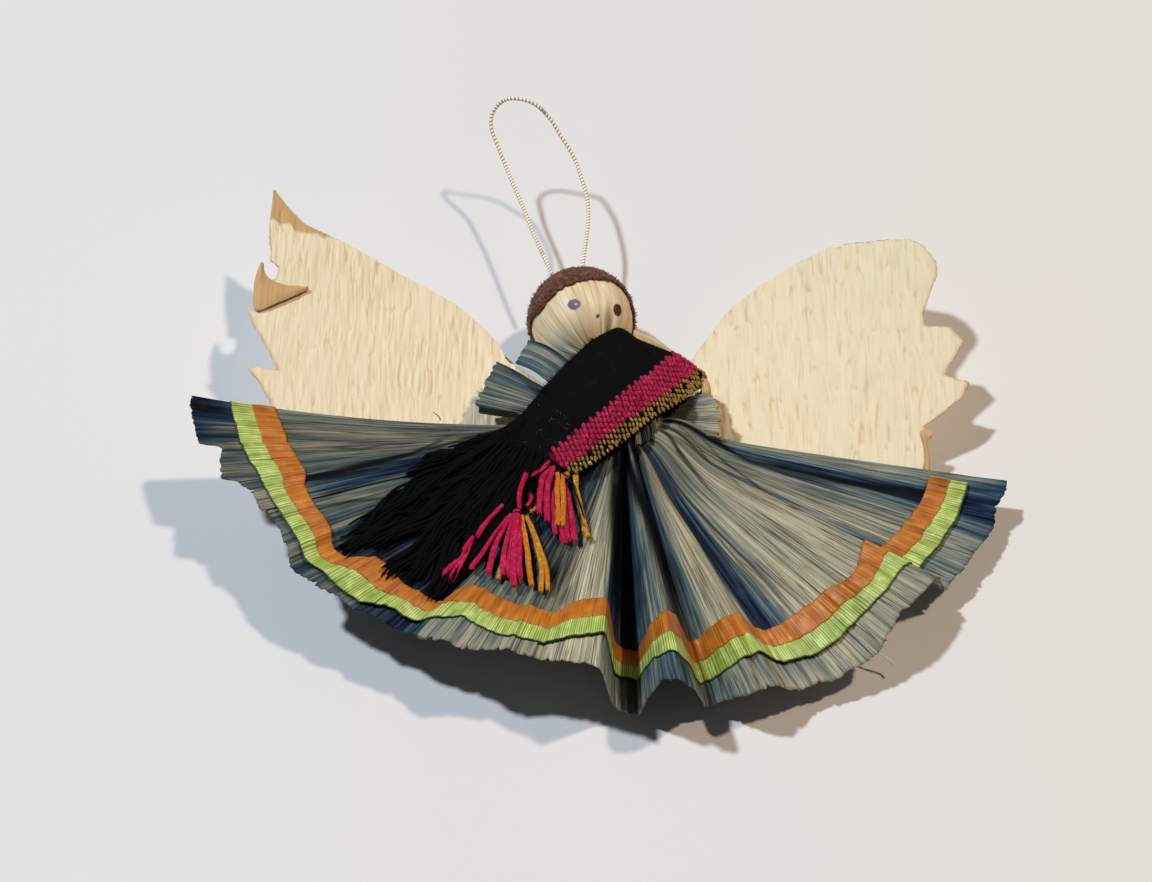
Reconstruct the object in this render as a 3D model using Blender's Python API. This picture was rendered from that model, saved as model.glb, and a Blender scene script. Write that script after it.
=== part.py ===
"""A corn husk angel ornament, lying on its back.

Metres, +Z up. The body's waist stands over the origin, the skirt fans out
towards -Y, the head points to +Y and the wings reach along X.
"""

import math

import bmesh
import bpy
from mathutils import Vector

# Clearances and stock
GAP = 0.0003
HUSK = 0.0005
CREPE = 0.0005
RIBBON = 0.0003
CLOTH = 0.0006

# Body: the waist is at the apex of the skirt's folds
BODY_LEAN = math.radians(16.5)
WAIST_HEIGHT = 0.0120
WAIST_RADIUS = 0.0062
BODY_SIDES = 24
BODY_LENGTH = 0.0162
BODY_HALF_WIDTH = 0.0093
BODY_TOP = 0.0205
BODY_CENTRE_HEIGHT = 0.0100
WING_ROOT_TOP = 0.0005
TIE_RADIUS = 0.0003
TIE_GROOVE = 0.0011

# Head
NECK_GAP = 0.0006
HEAD_HEIGHT = 0.0120
HEAD_RADIUS = 0.0104
HAIR_THICKNESS = 0.0008
NECK_RADIUS = 0.0030
NECK_LENGTH = 0.0014
HEAD_SIDES = 28

# Hanging loop
LOOP_RADIUS = 0.0004
LOOP_GAP = 0.0005

# Skirt
SKIRT_REACH = 0.0840
HEM_LIFT = 0.0240
UNDER_REACH = 0.0500
UNDER_FOLD = 0.0012
UNDER_FLAT = 0.0120
FOLD_STEP = 2.6

# Wings
WING_SPAN = 0.0750
WING_RISE = 0.0527
WING_SHOULDER_LIFT = 0.0050
LEFT_WING_TIP_LIFT = 0.0205
RIGHT_WING_TIP_LIFT = 0.0262
LEFT_TAB_REACH = 0.0110
LEFT_SHOULDER_REACH = 0.0225
RIGHT_TAB_REACH = 0.0065
RIGHT_SHOULDER_REACH = 0.0165
WING_COLUMNS = 9
LEFT_LOW_EDGE_SHARE = 0.55
RIGHT_LOW_EDGE_SHARE = 0.10
LOWEST_RISE_SHARE = -0.20

# Arms and sleeves
ARM_RADIUS = 0.0013
SLEEVE_SIDES = 20
SLEEVE_FLATTEN = 0.62
SLEEVE_WAIST_SHARE = 0.97
LEFT_HAND_SHARE = 0.15
LEFT_SHOULDER = Vector((-0.0140, 0.0036, 0.0128))
LEFT_CUFF = Vector((-0.0267, 0.0083, 0.0136))
LEFT_SHOULDER_RADIUS = 0.0033
LEFT_CUFF_RADIUS = 0.0062
RIGHT_SHOULDER = Vector((0.0092, 0.0022, 0.0120))
RIGHT_CUFF = Vector((0.0188, 0.0026, 0.0120))
RIGHT_SHOULDER_RADIUS = 0.0035
RIGHT_CUFF_RADIUS = 0.0055

# Collar strip
COLLAR_INNER_LOW = Vector((-0.0140, 0.0036, 0.0198))
COLLAR_INNER_HIGH = Vector((-0.0108, 0.0092, 0.0206))
COLLAR_OUTER_LOW = Vector((-0.0214, 0.0113, 0.0176))
COLLAR_OUTER_HIGH = Vector((-0.0187, 0.0170, 0.0180))

# Sash and its loose ends
SASH_SPAN = 0.0400
SASH_SHOULDER_DROP = 0.0035
SASH_SHOULDER_REACH = 0.0018
FRINGE_THICKNESS = 0.0012
TASSEL_THICKNESS = 0.0022
FRINGE_GAP = 0.0005

# The hem, from the left edge round the front to the right edge: direction in
# degrees, then shares of the skirt's reach and of the hem's lift, then how
# far out along the fold the orange and the lime ribbon lie
HEM_SHARES = (
    (-178.0, 1.00, 1.00, 0.81, 0.91),
    (-170.5, 1.00, 0.96, 0.80, 0.91),
    (-168.8, 0.945, 0.93, 0.81, 0.92),
    (-164.0, 0.95, 0.95, 0.82, 0.92),
    (-162.5, 0.915, 0.92, 0.84, 0.94),
    (-156.5, 0.89, 0.91, 0.87, 0.96),
    (-150.0, 0.875, 0.84, 0.87, 0.96),
    (-147.8, 0.885, 0.76, 0.86, 0.95),
    (-142.0, 0.86, 0.75, 0.86, 0.96),
    (-137.5, 0.84, 0.71, 0.85, 0.96),
    (-133.0, 0.825, 0.70, 0.87, 0.95),
    (-129.0, 0.815, 0.70, 0.87, 0.95),
    (-126.2, 0.81, 0.68, 0.86, 0.94),
    (-125.0, 0.805, 0.67, 0.76, 0.90),
    (-120.7, 0.79, 0.75, 0.78, 0.90),
    (-115.3, 0.80, 0.83, 0.79, 0.91),
    (-110.0, 0.77, 0.83, 0.82, 0.94),
    (-105.7, 0.76, 0.79, 0.82, 0.94),
    (-99.6, 0.775, 0.88, 0.76, 0.90),
    (-94.2, 0.795, 0.96, 0.74, 0.87),
    (-92.0, 0.755, 0.30, 0.80, 0.90),
    (-88.0, 0.76, 0.14, 0.79, 0.88),
    (-86.6, 0.78, 0.50, 0.81, 0.91),
    (-85.0, 0.81, 0.78, 0.78, 0.90),
    (-82.7, 0.83, 0.91, 0.75, 0.89),
    (-80.0, 0.82, 0.75, 0.74, 0.91),
    (-77.5, 0.775, 0.33, 0.74, 0.92),
    (-76.2, 0.77, 0.18, 0.78, 0.91),
    (-74.5, 0.775, 0.22, 0.78, 0.91),
    (-71.8, 0.82, 0.46, 0.75, 0.89),
    (-69.5, 0.835, 0.58, 0.74, 0.88),
    (-66.5, 0.82, 0.50, 0.74, 0.88),
    (-61.0, 0.815, 0.29, 0.80, 0.91),
    (-54.5, 0.835, 0.33, 0.78, 0.91),
    (-48.0, 0.855, 0.42, 0.77, 0.89),
    (-43.0, 0.845, 0.62, 0.82, 0.92),
    (-37.0, 0.84, 0.59, 0.81, 0.93),
    (-33.0, 0.85, 0.50, 0.78, 0.93),
    (-31.0, 0.855, 0.29, 0.77, 0.90),
    (-24.2, 0.875, 0.28, 0.79, 0.90),
    (-15.0, 0.895, 0.29, 0.80, 0.90),
    (-11.0, 0.905, 0.37, 0.80, 0.90),
)
LEAF_EDGE_DEGREES = (-178.0, -156.5, -126.2, -105.7, -88.0, -69.5, -48.0, -31.0, -11.0)
UNDER_EDGE_DEGREES = (-168.0, -118.0, -66.0, -16.0)
LEAF_ROW_SHARES = (0.25, 0.45, 0.64)

# Wing outlines, bottom to top: height, inner edge and torn outer edge, as
# shares of the wing's rise and reach
LEFT_WING_SHARES = (
    (-0.095, 0.37, 0.88),
    (0.01, 0.29, 0.915),
    (0.05, 0.23, 0.93),
    (0.105, 0.15, 0.95),
    (0.12, 0.045, 0.955),
    (0.175, 0.036, 0.99),
    (0.185, 0.036, 0.91),
    (0.245, 0.057, 0.93),
    (0.35, 0.20, 0.975),
    (0.425, 0.305, 1.00),
    (0.44, 0.315, 0.96),
    (0.515, 0.335, 0.97),
    (0.55, 0.36, 0.965),
    (0.655, 0.45, 0.95),
    (0.70, 0.515, 0.95),
    (0.775, 0.635, 0.955),
    (0.85, 0.765, 0.958),
    (0.88, 0.86, 0.957),
    (0.94, 0.91, 0.955),
    (1.00, 0.945, 0.953),
)
RIGHT_WING_SHARES = (
    (-0.165, 0.53, 0.785),
    (-0.05, 0.35, 0.795),
    (-0.015, 0.29, 0.81),
    (0.015, 0.25, 0.79),
    (0.06, 0.20, 0.84),
    (0.105, 0.095, 0.88),
    (0.12, -0.016, 0.895),
    (0.18, -0.024, 0.915),
    (0.215, -0.030, 0.855),
    (0.25, -0.036, 0.865),
    (0.34, 0.11, 0.905),
    (0.41, 0.17, 0.875),
    (0.425, 0.18, 0.81),
    (0.475, 0.205, 0.805),
    (0.545, 0.235, 0.825),
    (0.625, 0.27, 0.85),
    (0.685, 0.305, 0.845),
    (0.745, 0.37, 0.82),
    (0.795, 0.44, 0.78),
    (0.825, 0.485, 0.685),
    (0.845, 0.56, 0.61),
)

# The body, waist to neck: distance along the body, half width, top and
# underside, as shares of the body's own sizes
BODY_SHARES = (
    (-0.36, 0.20, 0.50, 0.20),
    (-0.31, 0.38, 0.60, 0.00),
    (-0.18, 0.56, 0.66, 0.00),
    (0.00, 0.64, 0.72, 0.00),
    (0.08, 0.67, 0.75, 0.00),
    (0.25, 0.81, 0.87, 0.08),
    (0.42, 0.94, 0.97, 0.08),
    (0.56, 1.00, 1.00, 0.08),
    (0.74, 0.96, 0.96, 0.08),
    (0.90, 0.68, 0.82, 0.20),
    (1.00, 0.38, 0.70, 0.45),
)
ROUNDED_SIDE_SHARE = 0.75
TIE_PLACE_SHARE = 0.04
TIE_GROOVE_SHARE = 0.06

# The sash, from the shoulder down to its loose end, each row from its black
# selvedge to its gold border, as shares of the sash's span
SASH_SHARES = (
    ((-0.15, 0.33, 0.558), (-0.025, 0.39, 0.57), (0.083, 0.315, 0.565), (0.268, 0.278, 0.488), (0.388, 0.253, 0.39)),
    ((-0.223, 0.255, 0.55), (-0.115, 0.243, 0.565), (0.018, 0.155, 0.56), (0.19, 0.158, 0.513), (0.35, 0.173, 0.42)),
    ((-0.278, 0.193, 0.538), (-0.165, 0.12, 0.555), (-0.058, 0.043, 0.555), (0.08, 0.013, 0.53), (0.238, 0.018, 0.463)),
    ((-0.34, 0.113, 0.525), (-0.238, 0.015, 0.54), (-0.14, -0.063, 0.54), (-0.03, -0.103, 0.52), (0.118, -0.093, 0.48)),
    ((-0.398, 0.048, 0.505), (-0.31, -0.058, 0.52), (-0.223, -0.145, 0.525), (-0.118, -0.188, 0.51), (0.02, -0.20, 0.485)),
    ((-0.448, -0.02, 0.485), (-0.368, -0.118, 0.50), (-0.295, -0.203, 0.505), (-0.195, -0.253, 0.495), (-0.078, -0.285, 0.475)),
    ((-0.505, -0.108, 0.46), (-0.43, -0.188, 0.47), (-0.358, -0.26, 0.475), (-0.263, -0.308, 0.47), (-0.175, -0.368, 0.46)),
    ((-0.573, -0.203, 0.435), (-0.503, -0.248, 0.445), (-0.415, -0.29, 0.45), (-0.338, -0.355, 0.445), (-0.265, -0.415, 0.435)),
)

SASH_DROP_SHARES = (1.0, 1.0, 0.85, 0.5, 0.1)

# Loose yarns on the skirt: share along the fold, then their left and right
# edge in degrees
FRINGE_SHARES = (
    (0.34, -159.0, -134.0),
    (0.46, -160.0, -133.0),
    (0.58, -159.0, -132.0),
    (0.70, -150.0, -131.0),
    (0.80, -148.0, -130.0),
)
UPPER_TASSEL_SHARES = (
    (0.34, -128.0, -114.0),
    (0.42, -123.0, -106.0),
    (0.50, -119.0, -102.0),
    (0.56, -115.0, -103.0),
)
LOWER_TASSEL_SHARES = (
    (0.50, -127.0, -124.5),
    (0.56, -127.0, -118.0),
    (0.64, -125.0, -114.0),
    (0.70, -124.0, -110.0),
    (0.75, -121.0, -109.0),
)
OUTER_TASSEL_SHARES = (
    (0.55, -129.2, -128.0),
    (0.66, -129.5, -127.0),
    (0.74, -129.2, -125.8),
)

# The hanging loop's route, foot to foot, along the body's direction and
# across it, with its height: shares of the loop's own length
LOOP_REACH = 0.0400
LOOP_SHARES = (
    (0.030, -0.077, 0.000),
    (0.138, -0.079, -0.007),
    (0.286, -0.084, -0.012),
    (0.436, -0.085, -0.012),
    (0.583, -0.086, -0.007),
    (0.715, -0.092, 0.000),
    (0.833, -0.096, 0.013),
    (0.941, -0.108, 0.063),
    (1.016, -0.118, 0.113),
    (1.067, -0.100, 0.163),
    (1.080, -0.062, 0.213),
    (1.068, -0.027, 0.250),
    (1.042, 0.010, 0.275),
    (1.021, 0.053, 0.275),
    (0.999, 0.090, 0.268),
    (0.970, 0.136, 0.238),
    (0.917, 0.181, 0.188),
    (0.845, 0.209, 0.138),
    (0.784, 0.235, 0.100),
    (0.717, 0.253, 0.063),
    (0.611, 0.255, 0.038),
    (0.518, 0.252, 0.018),
    (0.426, 0.238, 0.008),
    (0.312, 0.204, 0.003),
    (0.201, 0.160, 0.000),
    (0.102, 0.119, 0.000),
    (0.030, 0.090, 0.000),
)
LOOP_STEPS = 2
FEET_HEIGHT = 0.0035

BODY_AXIS = Vector((-math.sin(BODY_LEAN), math.cos(BODY_LEAN), 0))
ACROSS = Vector((math.cos(BODY_LEAN), math.sin(BODY_LEAN), 0))
UP = Vector((0, 0, 1))
WAIST = UP * WAIST_HEIGHT
HEAD_CENTRE = BODY_AXIS * (BODY_LENGTH + NECK_GAP + NECK_LENGTH + HEAD_RADIUS) + UP * HEAD_HEIGHT
HAIR_AXIS = Vector((-0.22, 0.83, -0.51)).normalized()
HAIR_EDGE = math.radians(102)


def clear_scene():
    for obj in list(bpy.data.objects):
        bpy.data.objects.remove(obj, do_unlink=True)


def material(name, colour, roughness, metallic=0.0):
    made = bpy.data.materials.new(name)
    made.use_nodes = True
    shader = made.node_tree.nodes["Principled BSDF"]
    shader.inputs["Base Color"].default_value = (*colour, 1)
    shader.inputs["Roughness"].default_value = roughness
    shader.inputs["Metallic"].default_value = metallic
    return made


def new_object(name, points, faces, finish, smooth=True):
    mesh = bpy.data.meshes.new(name)
    mesh.from_pydata([tuple(point) for point in points], [], faces)
    mesh.validate()
    shaped = bmesh.new()
    shaped.from_mesh(mesh)
    bmesh.ops.recalc_face_normals(shaped, faces=shaped.faces)
    shaped.to_mesh(mesh)
    shaped.free()
    if smooth:
        mesh.shade_smooth()
        mesh.set_sharp_from_angle(angle=math.radians(40))
    if finish:
        mesh.materials.append(finish)
    made = bpy.data.objects.new(name, mesh)
    bpy.context.collection.objects.link(made)
    return made


def slab(name, upper, lower, finish):
    """A closed sheet between two grids of points that match row for row."""
    rows = len(upper)
    columns = len(upper[0])
    points = [point for row in upper for point in row]
    points += [point for row in lower for point in row]
    under = rows * columns
    faces = []
    for r in range(rows - 1):
        for c in range(columns - 1):
            a = r * columns + c
            b = a + columns
            faces.append((a, a + 1, b + 1))
            faces.append((a, b + 1, b))
            faces.append((under + a, under + b + 1, under + a + 1))
            faces.append((under + a, under + b, under + b + 1))
    rim = [c for c in range(columns)]
    rim += [r * columns + columns - 1 for r in range(1, rows)]
    rim += [(rows - 1) * columns + c for c in range(columns - 2, -1, -1)]
    rim += [r * columns for r in range(rows - 2, 0, -1)]
    for here, there in zip(rim, rim[1:] + rim[:1]):
        faces.append((here, there, under + there, under + here))
    return new_object(name, points, faces, finish)


def sheet(name, upper, thickness, finish):
    return slab(name, upper, [[p - UP * thickness for p in row] for row in upper], finish)


def frame_across(axis):
    side = axis.cross(UP)
    if side.length < 0.1:
        side = Vector((1, 0, 0))
    side.normalize()
    return side, side.cross(axis).normalized()


def turned(name, profile, centre, axis, sides, finish, flatten=1.0):
    """A closed profile of (along, radius) pairs turned about an axis."""
    side, lift = frame_across(axis)
    points = []
    rings = []
    for along, radius in profile:
        if radius == 0:
            rings.append([len(points)])
            points.append(centre + axis * along)
            continue
        rings.append(list(range(len(points), len(points) + sides)))
        for k in range(sides):
            turn = math.tau * k / sides
            out = side * math.cos(turn) + lift * (math.sin(turn) * flatten)
            points.append(centre + axis * along + out * radius)
    faces = []
    closed = profile[0][1] > 0
    pairs = list(zip(rings, rings[1:] + rings[:1])) if closed else list(zip(rings, rings[1:]))
    for near, far in pairs:
        for k in range(sides):
            j = (k + 1) % sides
            if len(near) == 1:
                faces.append((near[0], far[k], far[j]))
            elif len(far) == 1:
                faces.append((near[k], far[0], near[j]))
            else:
                faces.append((near[k], far[k], far[j], near[j]))
    return new_object(name, points, faces, finish)


def tube(name, route, radius, sides, finish):
    """A round rod along a route of points."""
    points = []
    faces = []
    for k, here in enumerate(route):
        before = route[max(k - 1, 0)]
        after = route[min(k + 1, len(route) - 1)]
        side, lift = frame_across((after - before).normalized())
        for j in range(sides):
            turn = math.tau * j / sides
            points.append(here + (side * math.cos(turn) + lift * math.sin(turn)) * radius)
    for k in range(len(route) - 1):
        for j in range(sides):
            i = (j + 1) % sides
            faces.append((k * sides + j, k * sides + i, (k + 1) * sides + i, (k + 1) * sides + j))
    faces.append(tuple(range(sides - 1, -1, -1)))
    faces.append(tuple((len(route) - 1) * sides + j for j in range(sides)))
    return new_object(name, points, faces, finish)


def smooth_route(points, steps):
    """Points read from a smooth curve through the given ones."""
    route = []
    last = len(points) - 1
    for k in range(last):
        p0 = points[max(k - 1, 0)]
        p1 = points[k]
        p2 = points[k + 1]
        p3 = points[min(k + 2, last)]
        for j in range(steps):
            t = j / steps
            route.append(
                p1
                + (p2 - p0) * (t / 2)
                + (p0 * 2 - p1 * 5 + p2 * 4 - p3) * (t * t / 2)
                + (p1 * 3 - p0 - p2 * 3 + p3) * (t**3 / 2)
            )
    route.append(points[last])
    return route


def cut_with(solid, cutter):
    cut = solid.modifiers.new("arm_hole", "BOOLEAN")
    cut.operation = "DIFFERENCE"
    cut.object = cutter
    cutter.hide_render = True
    cutter.display_type = "WIRE"


def between(table, place):
    """A row of the table at this place, read straight between its rows."""
    if place <= table[0][0]:
        return table[0][1:]
    for low, high in zip(table, table[1:]):
        if place <= high[0]:
            share = (place - low[0]) / (high[0] - low[0])
            return tuple(a + (b - a) * share for a, b in zip(low[1:], high[1:]))
    return table[-1][1:]


def fold_directions():
    """Every direction where the skirt is measured: each fold line and points between."""
    directions = [HEM_SHARES[0][0]]
    for low, high in zip(HEM_SHARES, HEM_SHARES[1:]):
        steps = max(1, math.ceil((high[0] - low[0]) / FOLD_STEP))
        directions += [low[0] + (high[0] - low[0]) * k / steps for k in range(1, steps + 1)]
    return directions


def on_fold(degrees, share, lift=0.0):
    """A point of the skirt's upper side, this share of the way out along its fold."""
    reach_share, lift_share = between(HEM_SHARES, degrees)[:2]
    reach = SKIRT_REACH * reach_share * share
    height = WAIST_HEIGHT + (HEM_LIFT * lift_share - WAIST_HEIGHT) * share + lift
    turn = math.radians(degrees)
    return Vector((reach * math.cos(turn), reach * math.sin(turn), height))


def waist_share(degrees):
    return (WAIST_RADIUS + GAP) / (SKIRT_REACH * between(HEM_SHARES, degrees)[0])


def skirt_leaves(finish):
    """The husk leaves of the skirt; every second one tucks under its neighbours."""
    directions = fold_directions()
    edges = [directions.index(edge) for edge in LEAF_EDGE_DEGREES]
    for number, (low, high) in enumerate(zip(edges, edges[1:]), 1):
        tucked = number % 2 == 0
        first = max(low - 1, 0) if tucked else low
        last = min(high + 1, len(directions) - 1) if tucked else high
        drop = -(HUSK + GAP) if tucked else 0.0
        rows = []
        for degrees in directions[first : last + 1]:
            orange, lime = between(HEM_SHARES, degrees)[2:]
            middle = (orange + lime) / 2
            shares = (waist_share(degrees), *LEAF_ROW_SHARES, orange, middle, lime, 1.0)
            rows.append([on_fold(degrees, share, drop) for share in shares])
        sheet(f"skirt_leaf_{number}", rows, HUSK, finish)


def under_leaves(finish):
    """The shorter leaves of the back, which the doll lies on."""
    for number, (low, high) in enumerate(zip(UNDER_EDGE_DEGREES, UNDER_EDGE_DEGREES[1:]), 1):
        steps = math.ceil((high - low) / FOLD_STEP / 2)
        seam = math.degrees(GAP / WAIST_RADIUS)
        rows = []
        for k in range(steps + 1):
            degrees = low + seam + (high - low - seam - seam) * k / steps
            turn = math.radians(degrees)
            outward = Vector((math.cos(turn), math.sin(turn), 0))
            fold = UNDER_FOLD * (k % 2)
            row = []
            for reach in (WAIST_RADIUS + GAP, UNDER_FLAT, (UNDER_FLAT + UNDER_REACH) / 2, UNDER_REACH):
                share = max(0.0, (reach - UNDER_FLAT) / (UNDER_REACH - UNDER_FLAT))
                row.append(outward * reach + UP * (HUSK + fold * share))
            rows.append(row)
        sheet(f"under_leaf_{number}", rows, HUSK, finish)


def ribbons(orange_finish, lime_finish):
    """Two ribbons glued side by side round the skirt, over every fold."""
    orange_rows = []
    lime_rows = []
    for degrees in fold_directions():
        orange, lime = between(HEM_SHARES, degrees)[2:]
        middle = (orange + lime) / 2
        seam = GAP / SKIRT_REACH / 2
        lift = RIBBON + GAP
        orange_rows.append([on_fold(degrees, orange, lift), on_fold(degrees, middle - seam, lift)])
        lime_rows.append([on_fold(degrees, middle + seam, lift), on_fold(degrees, lime, lift)])
    sheet("orange_ribbon", orange_rows, RIBBON, orange_finish)
    sheet("lime_ribbon", lime_rows, RIBBON, lime_finish)


def yarns_on_skirt(name, table, columns, gap, thickness, finish):
    rows = []
    for share, low, high in table:
        degrees = [low + (high - low) * k / columns for k in range(columns + 1)]
        rows.append([on_fold(angle, share, gap + thickness) for angle in degrees])
    return sheet(name, rows, thickness, finish)


def body_ring(place, grown=0.0):
    """The body's outline across its length, flat underneath."""
    half_share, top_share, under_share = between(BODY_SHARES, place)
    half = BODY_HALF_WIDTH * half_share + grown
    centre = BODY_CENTRE_HEIGHT
    top = BODY_TOP * top_share + grown
    under = BODY_CENTRE_HEIGHT * under_share - grown
    ring = []
    for k in range(BODY_SIDES):
        turn = math.tau * k / BODY_SIDES
        rise = math.sin(turn)
        if rise >= 0:
            height = centre + (top - centre) * rise
        else:
            height = centre - (centre - under) * min(1.0, -rise / ROUNDED_SIDE_SHARE)
        ring.append(BODY_AXIS * (BODY_LENGTH * place) + ACROSS * (half * math.cos(turn)) + UP * height)
    return ring


def body_core(finish):
    """The bundle of rolled husk inside the bodice, with the waist tie's groove."""
    low = TIE_PLACE_SHARE - TIE_GROOVE_SHARE / 2
    high = TIE_PLACE_SHARE + TIE_GROOVE_SHARE / 2
    step = TIE_GROOVE_SHARE / 4
    rings = [body_ring(row[0]) for row in BODY_SHARES if row[0] < low - step]
    rings.append(body_ring(low - step))
    rings.append(body_ring(low, -TIE_GROOVE))
    rings.append(body_ring(high, -TIE_GROOVE))
    rings.append(body_ring(high + step))
    rings += [body_ring(row[0]) for row in BODY_SHARES if row[0] > high + step]
    points = [point for ring in rings for point in ring]
    faces = []
    for r in range(len(rings) - 1):
        for k in range(BODY_SIDES):
            j = (k + 1) % BODY_SIDES
            faces.append(
                (r * BODY_SIDES + k, r * BODY_SIDES + j, (r + 1) * BODY_SIDES + j, (r + 1) * BODY_SIDES + k)
            )
    faces.append(tuple(range(BODY_SIDES)))
    faces.append(tuple((len(rings) - 1) * BODY_SIDES + k for k in range(BODY_SIDES)))
    return new_object("body_core", points, faces, finish)


def waist_tie(finish):
    """A thread drawn tight round the body, in its groove."""
    ring = body_ring(TIE_PLACE_SHARE, -TIE_GROOVE + GAP + TIE_RADIUS)
    centre = sum(ring, Vector()) / len(ring)
    sides = 6
    points = []
    for point in ring:
        outward = (point - centre).normalized()
        for j in range(sides):
            turn = math.tau * j / sides
            points.append(point + (outward * math.cos(turn) + BODY_AXIS * math.sin(turn)) * TIE_RADIUS)
    faces = []
    for k in range(BODY_SIDES):
        near = k * sides
        far = ((k + 1) % BODY_SIDES) * sides
        for j in range(sides):
            i = (j + 1) % sides
            faces.append((near + j, near + i, far + i, far + j))
    return new_object("waist_tie", points, faces, finish)


def bodice(finish):
    """One husk wrapped over the chest, open underneath."""
    places = (0.30, 0.42, 0.56, 0.74, 0.88)
    wrap = list(range(BODY_SIDES - 1, BODY_SIDES)) + list(range(0, BODY_SIDES // 2 + 2))
    upper = [[body_ring(place, GAP + HUSK)[k] for k in wrap] for place in places]
    lower = [[body_ring(place, GAP)[k] for k in wrap] for place in places]
    return slab("bodice", upper, lower, finish)


def head(ball_finish, husk_finish, thread_finish, hair_finish):
    """A foam ball, the pale husk drawn over it, the neck's thread and the hair."""
    down = -BODY_AXIS
    inner = HEAD_RADIUS - HUSK
    ball = inner - GAP
    turns = 12
    bore = NECK_RADIUS - HUSK
    outline = [(-ball, 0)]
    outline += [(-ball * math.cos(math.pi * k / turns), ball * math.sin(math.pi * k / turns)) for k in range(1, turns)]
    outline += [(ball, 0)]
    turned("head_ball", outline, HEAD_CENTRE, down, HEAD_SIDES, ball_finish)

    def shell_side(radius, opening):
        widest = math.pi - math.asin(opening / radius)
        return [
            (-radius * math.cos(widest * k / turns), radius * math.sin(widest * k / turns))
            for k in range(1, turns + 1)
        ]

    outer_side = [(-HEAD_RADIUS, 0)] + shell_side(HEAD_RADIUS, NECK_RADIUS)
    outer_side.append((HEAD_RADIUS + NECK_LENGTH, NECK_RADIUS))
    inner_side = [(-inner, 0)] + shell_side(inner, bore)
    inner_side.append((HEAD_RADIUS + NECK_LENGTH, bore))
    turned("head_husk", outer_side + inner_side[::-1], HEAD_CENTRE, down, HEAD_SIDES, husk_finish)

    tie_ring = []
    for k in range(6):
        turn = math.tau * k / 6
        along = HEAD_RADIUS + TIE_RADIUS * math.cos(turn)
        tie_ring.append((along, NECK_RADIUS + GAP + TIE_RADIUS + TIE_RADIUS * math.sin(turn)))
    turned("neck_tie", tie_ring, HEAD_CENTRE + down * (NECK_LENGTH / 2), down, HEAD_SIDES, thread_finish)

    low = HEAD_RADIUS + GAP
    high = low + HAIR_THICKNESS
    arc = [HAIR_EDGE * k / turns for k in range(1, turns + 1)]
    cap = [(high, 0)] + [(high * math.cos(a), high * math.sin(a)) for a in arc]
    cap += [(low * math.cos(a), low * math.sin(a)) for a in reversed(arc)] + [(low, 0)]
    turned("hair_cap", cap, HEAD_CENTRE, HAIR_AXIS, HEAD_SIDES, hair_finish)


def hanging_loop(finish):
    """A stiff gold cord, both ends glued to the crown."""
    crown = HEAD_CENTRE + BODY_AXIS * HEAD_RADIUS
    points = []
    for along, across, height in LOOP_SHARES:
        rise = UP * (FEET_HEIGHT + LOOP_REACH * height)
        points.append(crown + BODY_AXIS * (LOOP_REACH * along) + ACROSS * (LOOP_REACH * across) + rise)
    surface = HEAD_RADIUS + GAP + HAIR_THICKNESS + LOOP_GAP
    for end in (0, -1):
        outward = points[end] - HEAD_CENTRE
        points[end] = HEAD_CENTRE + outward.normalized() * surface
    curve = bpy.data.curves.new("hanging_loop", "CURVE")
    curve.dimensions = "3D"
    curve.bevel_depth = LOOP_RADIUS
    curve.bevel_resolution = 2
    curve.use_fill_caps = True
    route = smooth_route(points, LOOP_STEPS)
    spline = curve.splines.new("POLY")
    spline.points.add(len(route) - 1)
    for target, point in zip(spline.points, route):
        target.co = (*point, 1)
    curve.materials.append(finish)
    loop = bpy.data.objects.new("hanging_loop", curve)
    bpy.context.collection.objects.link(loop)
    return loop


def sleeve(name, shoulder, cuff, shoulder_radius, cuff_radius, finish):
    """A husk rolled into a bell round the arm, open at both ends."""
    axis = (cuff - shoulder).normalized()
    length = (cuff - shoulder).length
    wall = HUSK / SLEEVE_FLATTEN
    middle_radius = (shoulder_radius + cuff_radius) / 2 * SLEEVE_WAIST_SHARE
    profile = [
        (0, shoulder_radius),
        (length / 2, middle_radius),
        (length, cuff_radius),
        (length, cuff_radius - wall),
        (length / 2, middle_radius - wall),
        (0, shoulder_radius - wall),
    ]
    return turned(name, profile, shoulder, axis, SLEEVE_SIDES, finish, SLEEVE_FLATTEN)


def arm_route():
    """The arms' one roll, from inside the left cuff through the chest to the hand beside the right cuff."""
    chest = BODY_AXIS * (BODY_LENGTH * 0.5) + UP * BODY_CENTRE_HEIGHT
    left = LEFT_CUFF.lerp(LEFT_SHOULDER, LEFT_HAND_SHARE)
    beside = RIGHT_CUFF + Vector((-ARM_RADIUS * 2, RIGHT_CUFF_RADIUS + GAP + ARM_RADIUS, ARM_RADIUS / 3))
    elbow = beside - ACROSS * (ARM_RADIUS * 5)
    hand = beside + ACROSS * ARM_RADIUS
    return smooth_route([left, LEFT_SHOULDER, chest, elbow, beside, hand], 4)


def arms(finish, body, cover):
    route = arm_route()
    roll = tube("arm_roll", route, ARM_RADIUS, 12, finish)
    hole = tube("arm_hole_cutter", route, ARM_RADIUS + GAP, 12, None)
    cut_with(body, hole)
    cut_with(cover, hole)
    return roll


def collar(finish):
    """A husk strip laid over the left shoulder, its inner edge under the sash."""
    rows = []
    for k in range(4):
        share = k / 3
        bow = UP * (HUSK * 2 * math.sin(math.pi * share))
        low = COLLAR_INNER_LOW.lerp(COLLAR_OUTER_LOW, share) + bow
        high = COLLAR_INNER_HIGH.lerp(COLLAR_OUTER_HIGH, share) + bow
        rows.append([low.lerp(high, j / 3) for j in range(4)])
    return sheet("collar_strip", rows, HUSK, finish)


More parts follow.
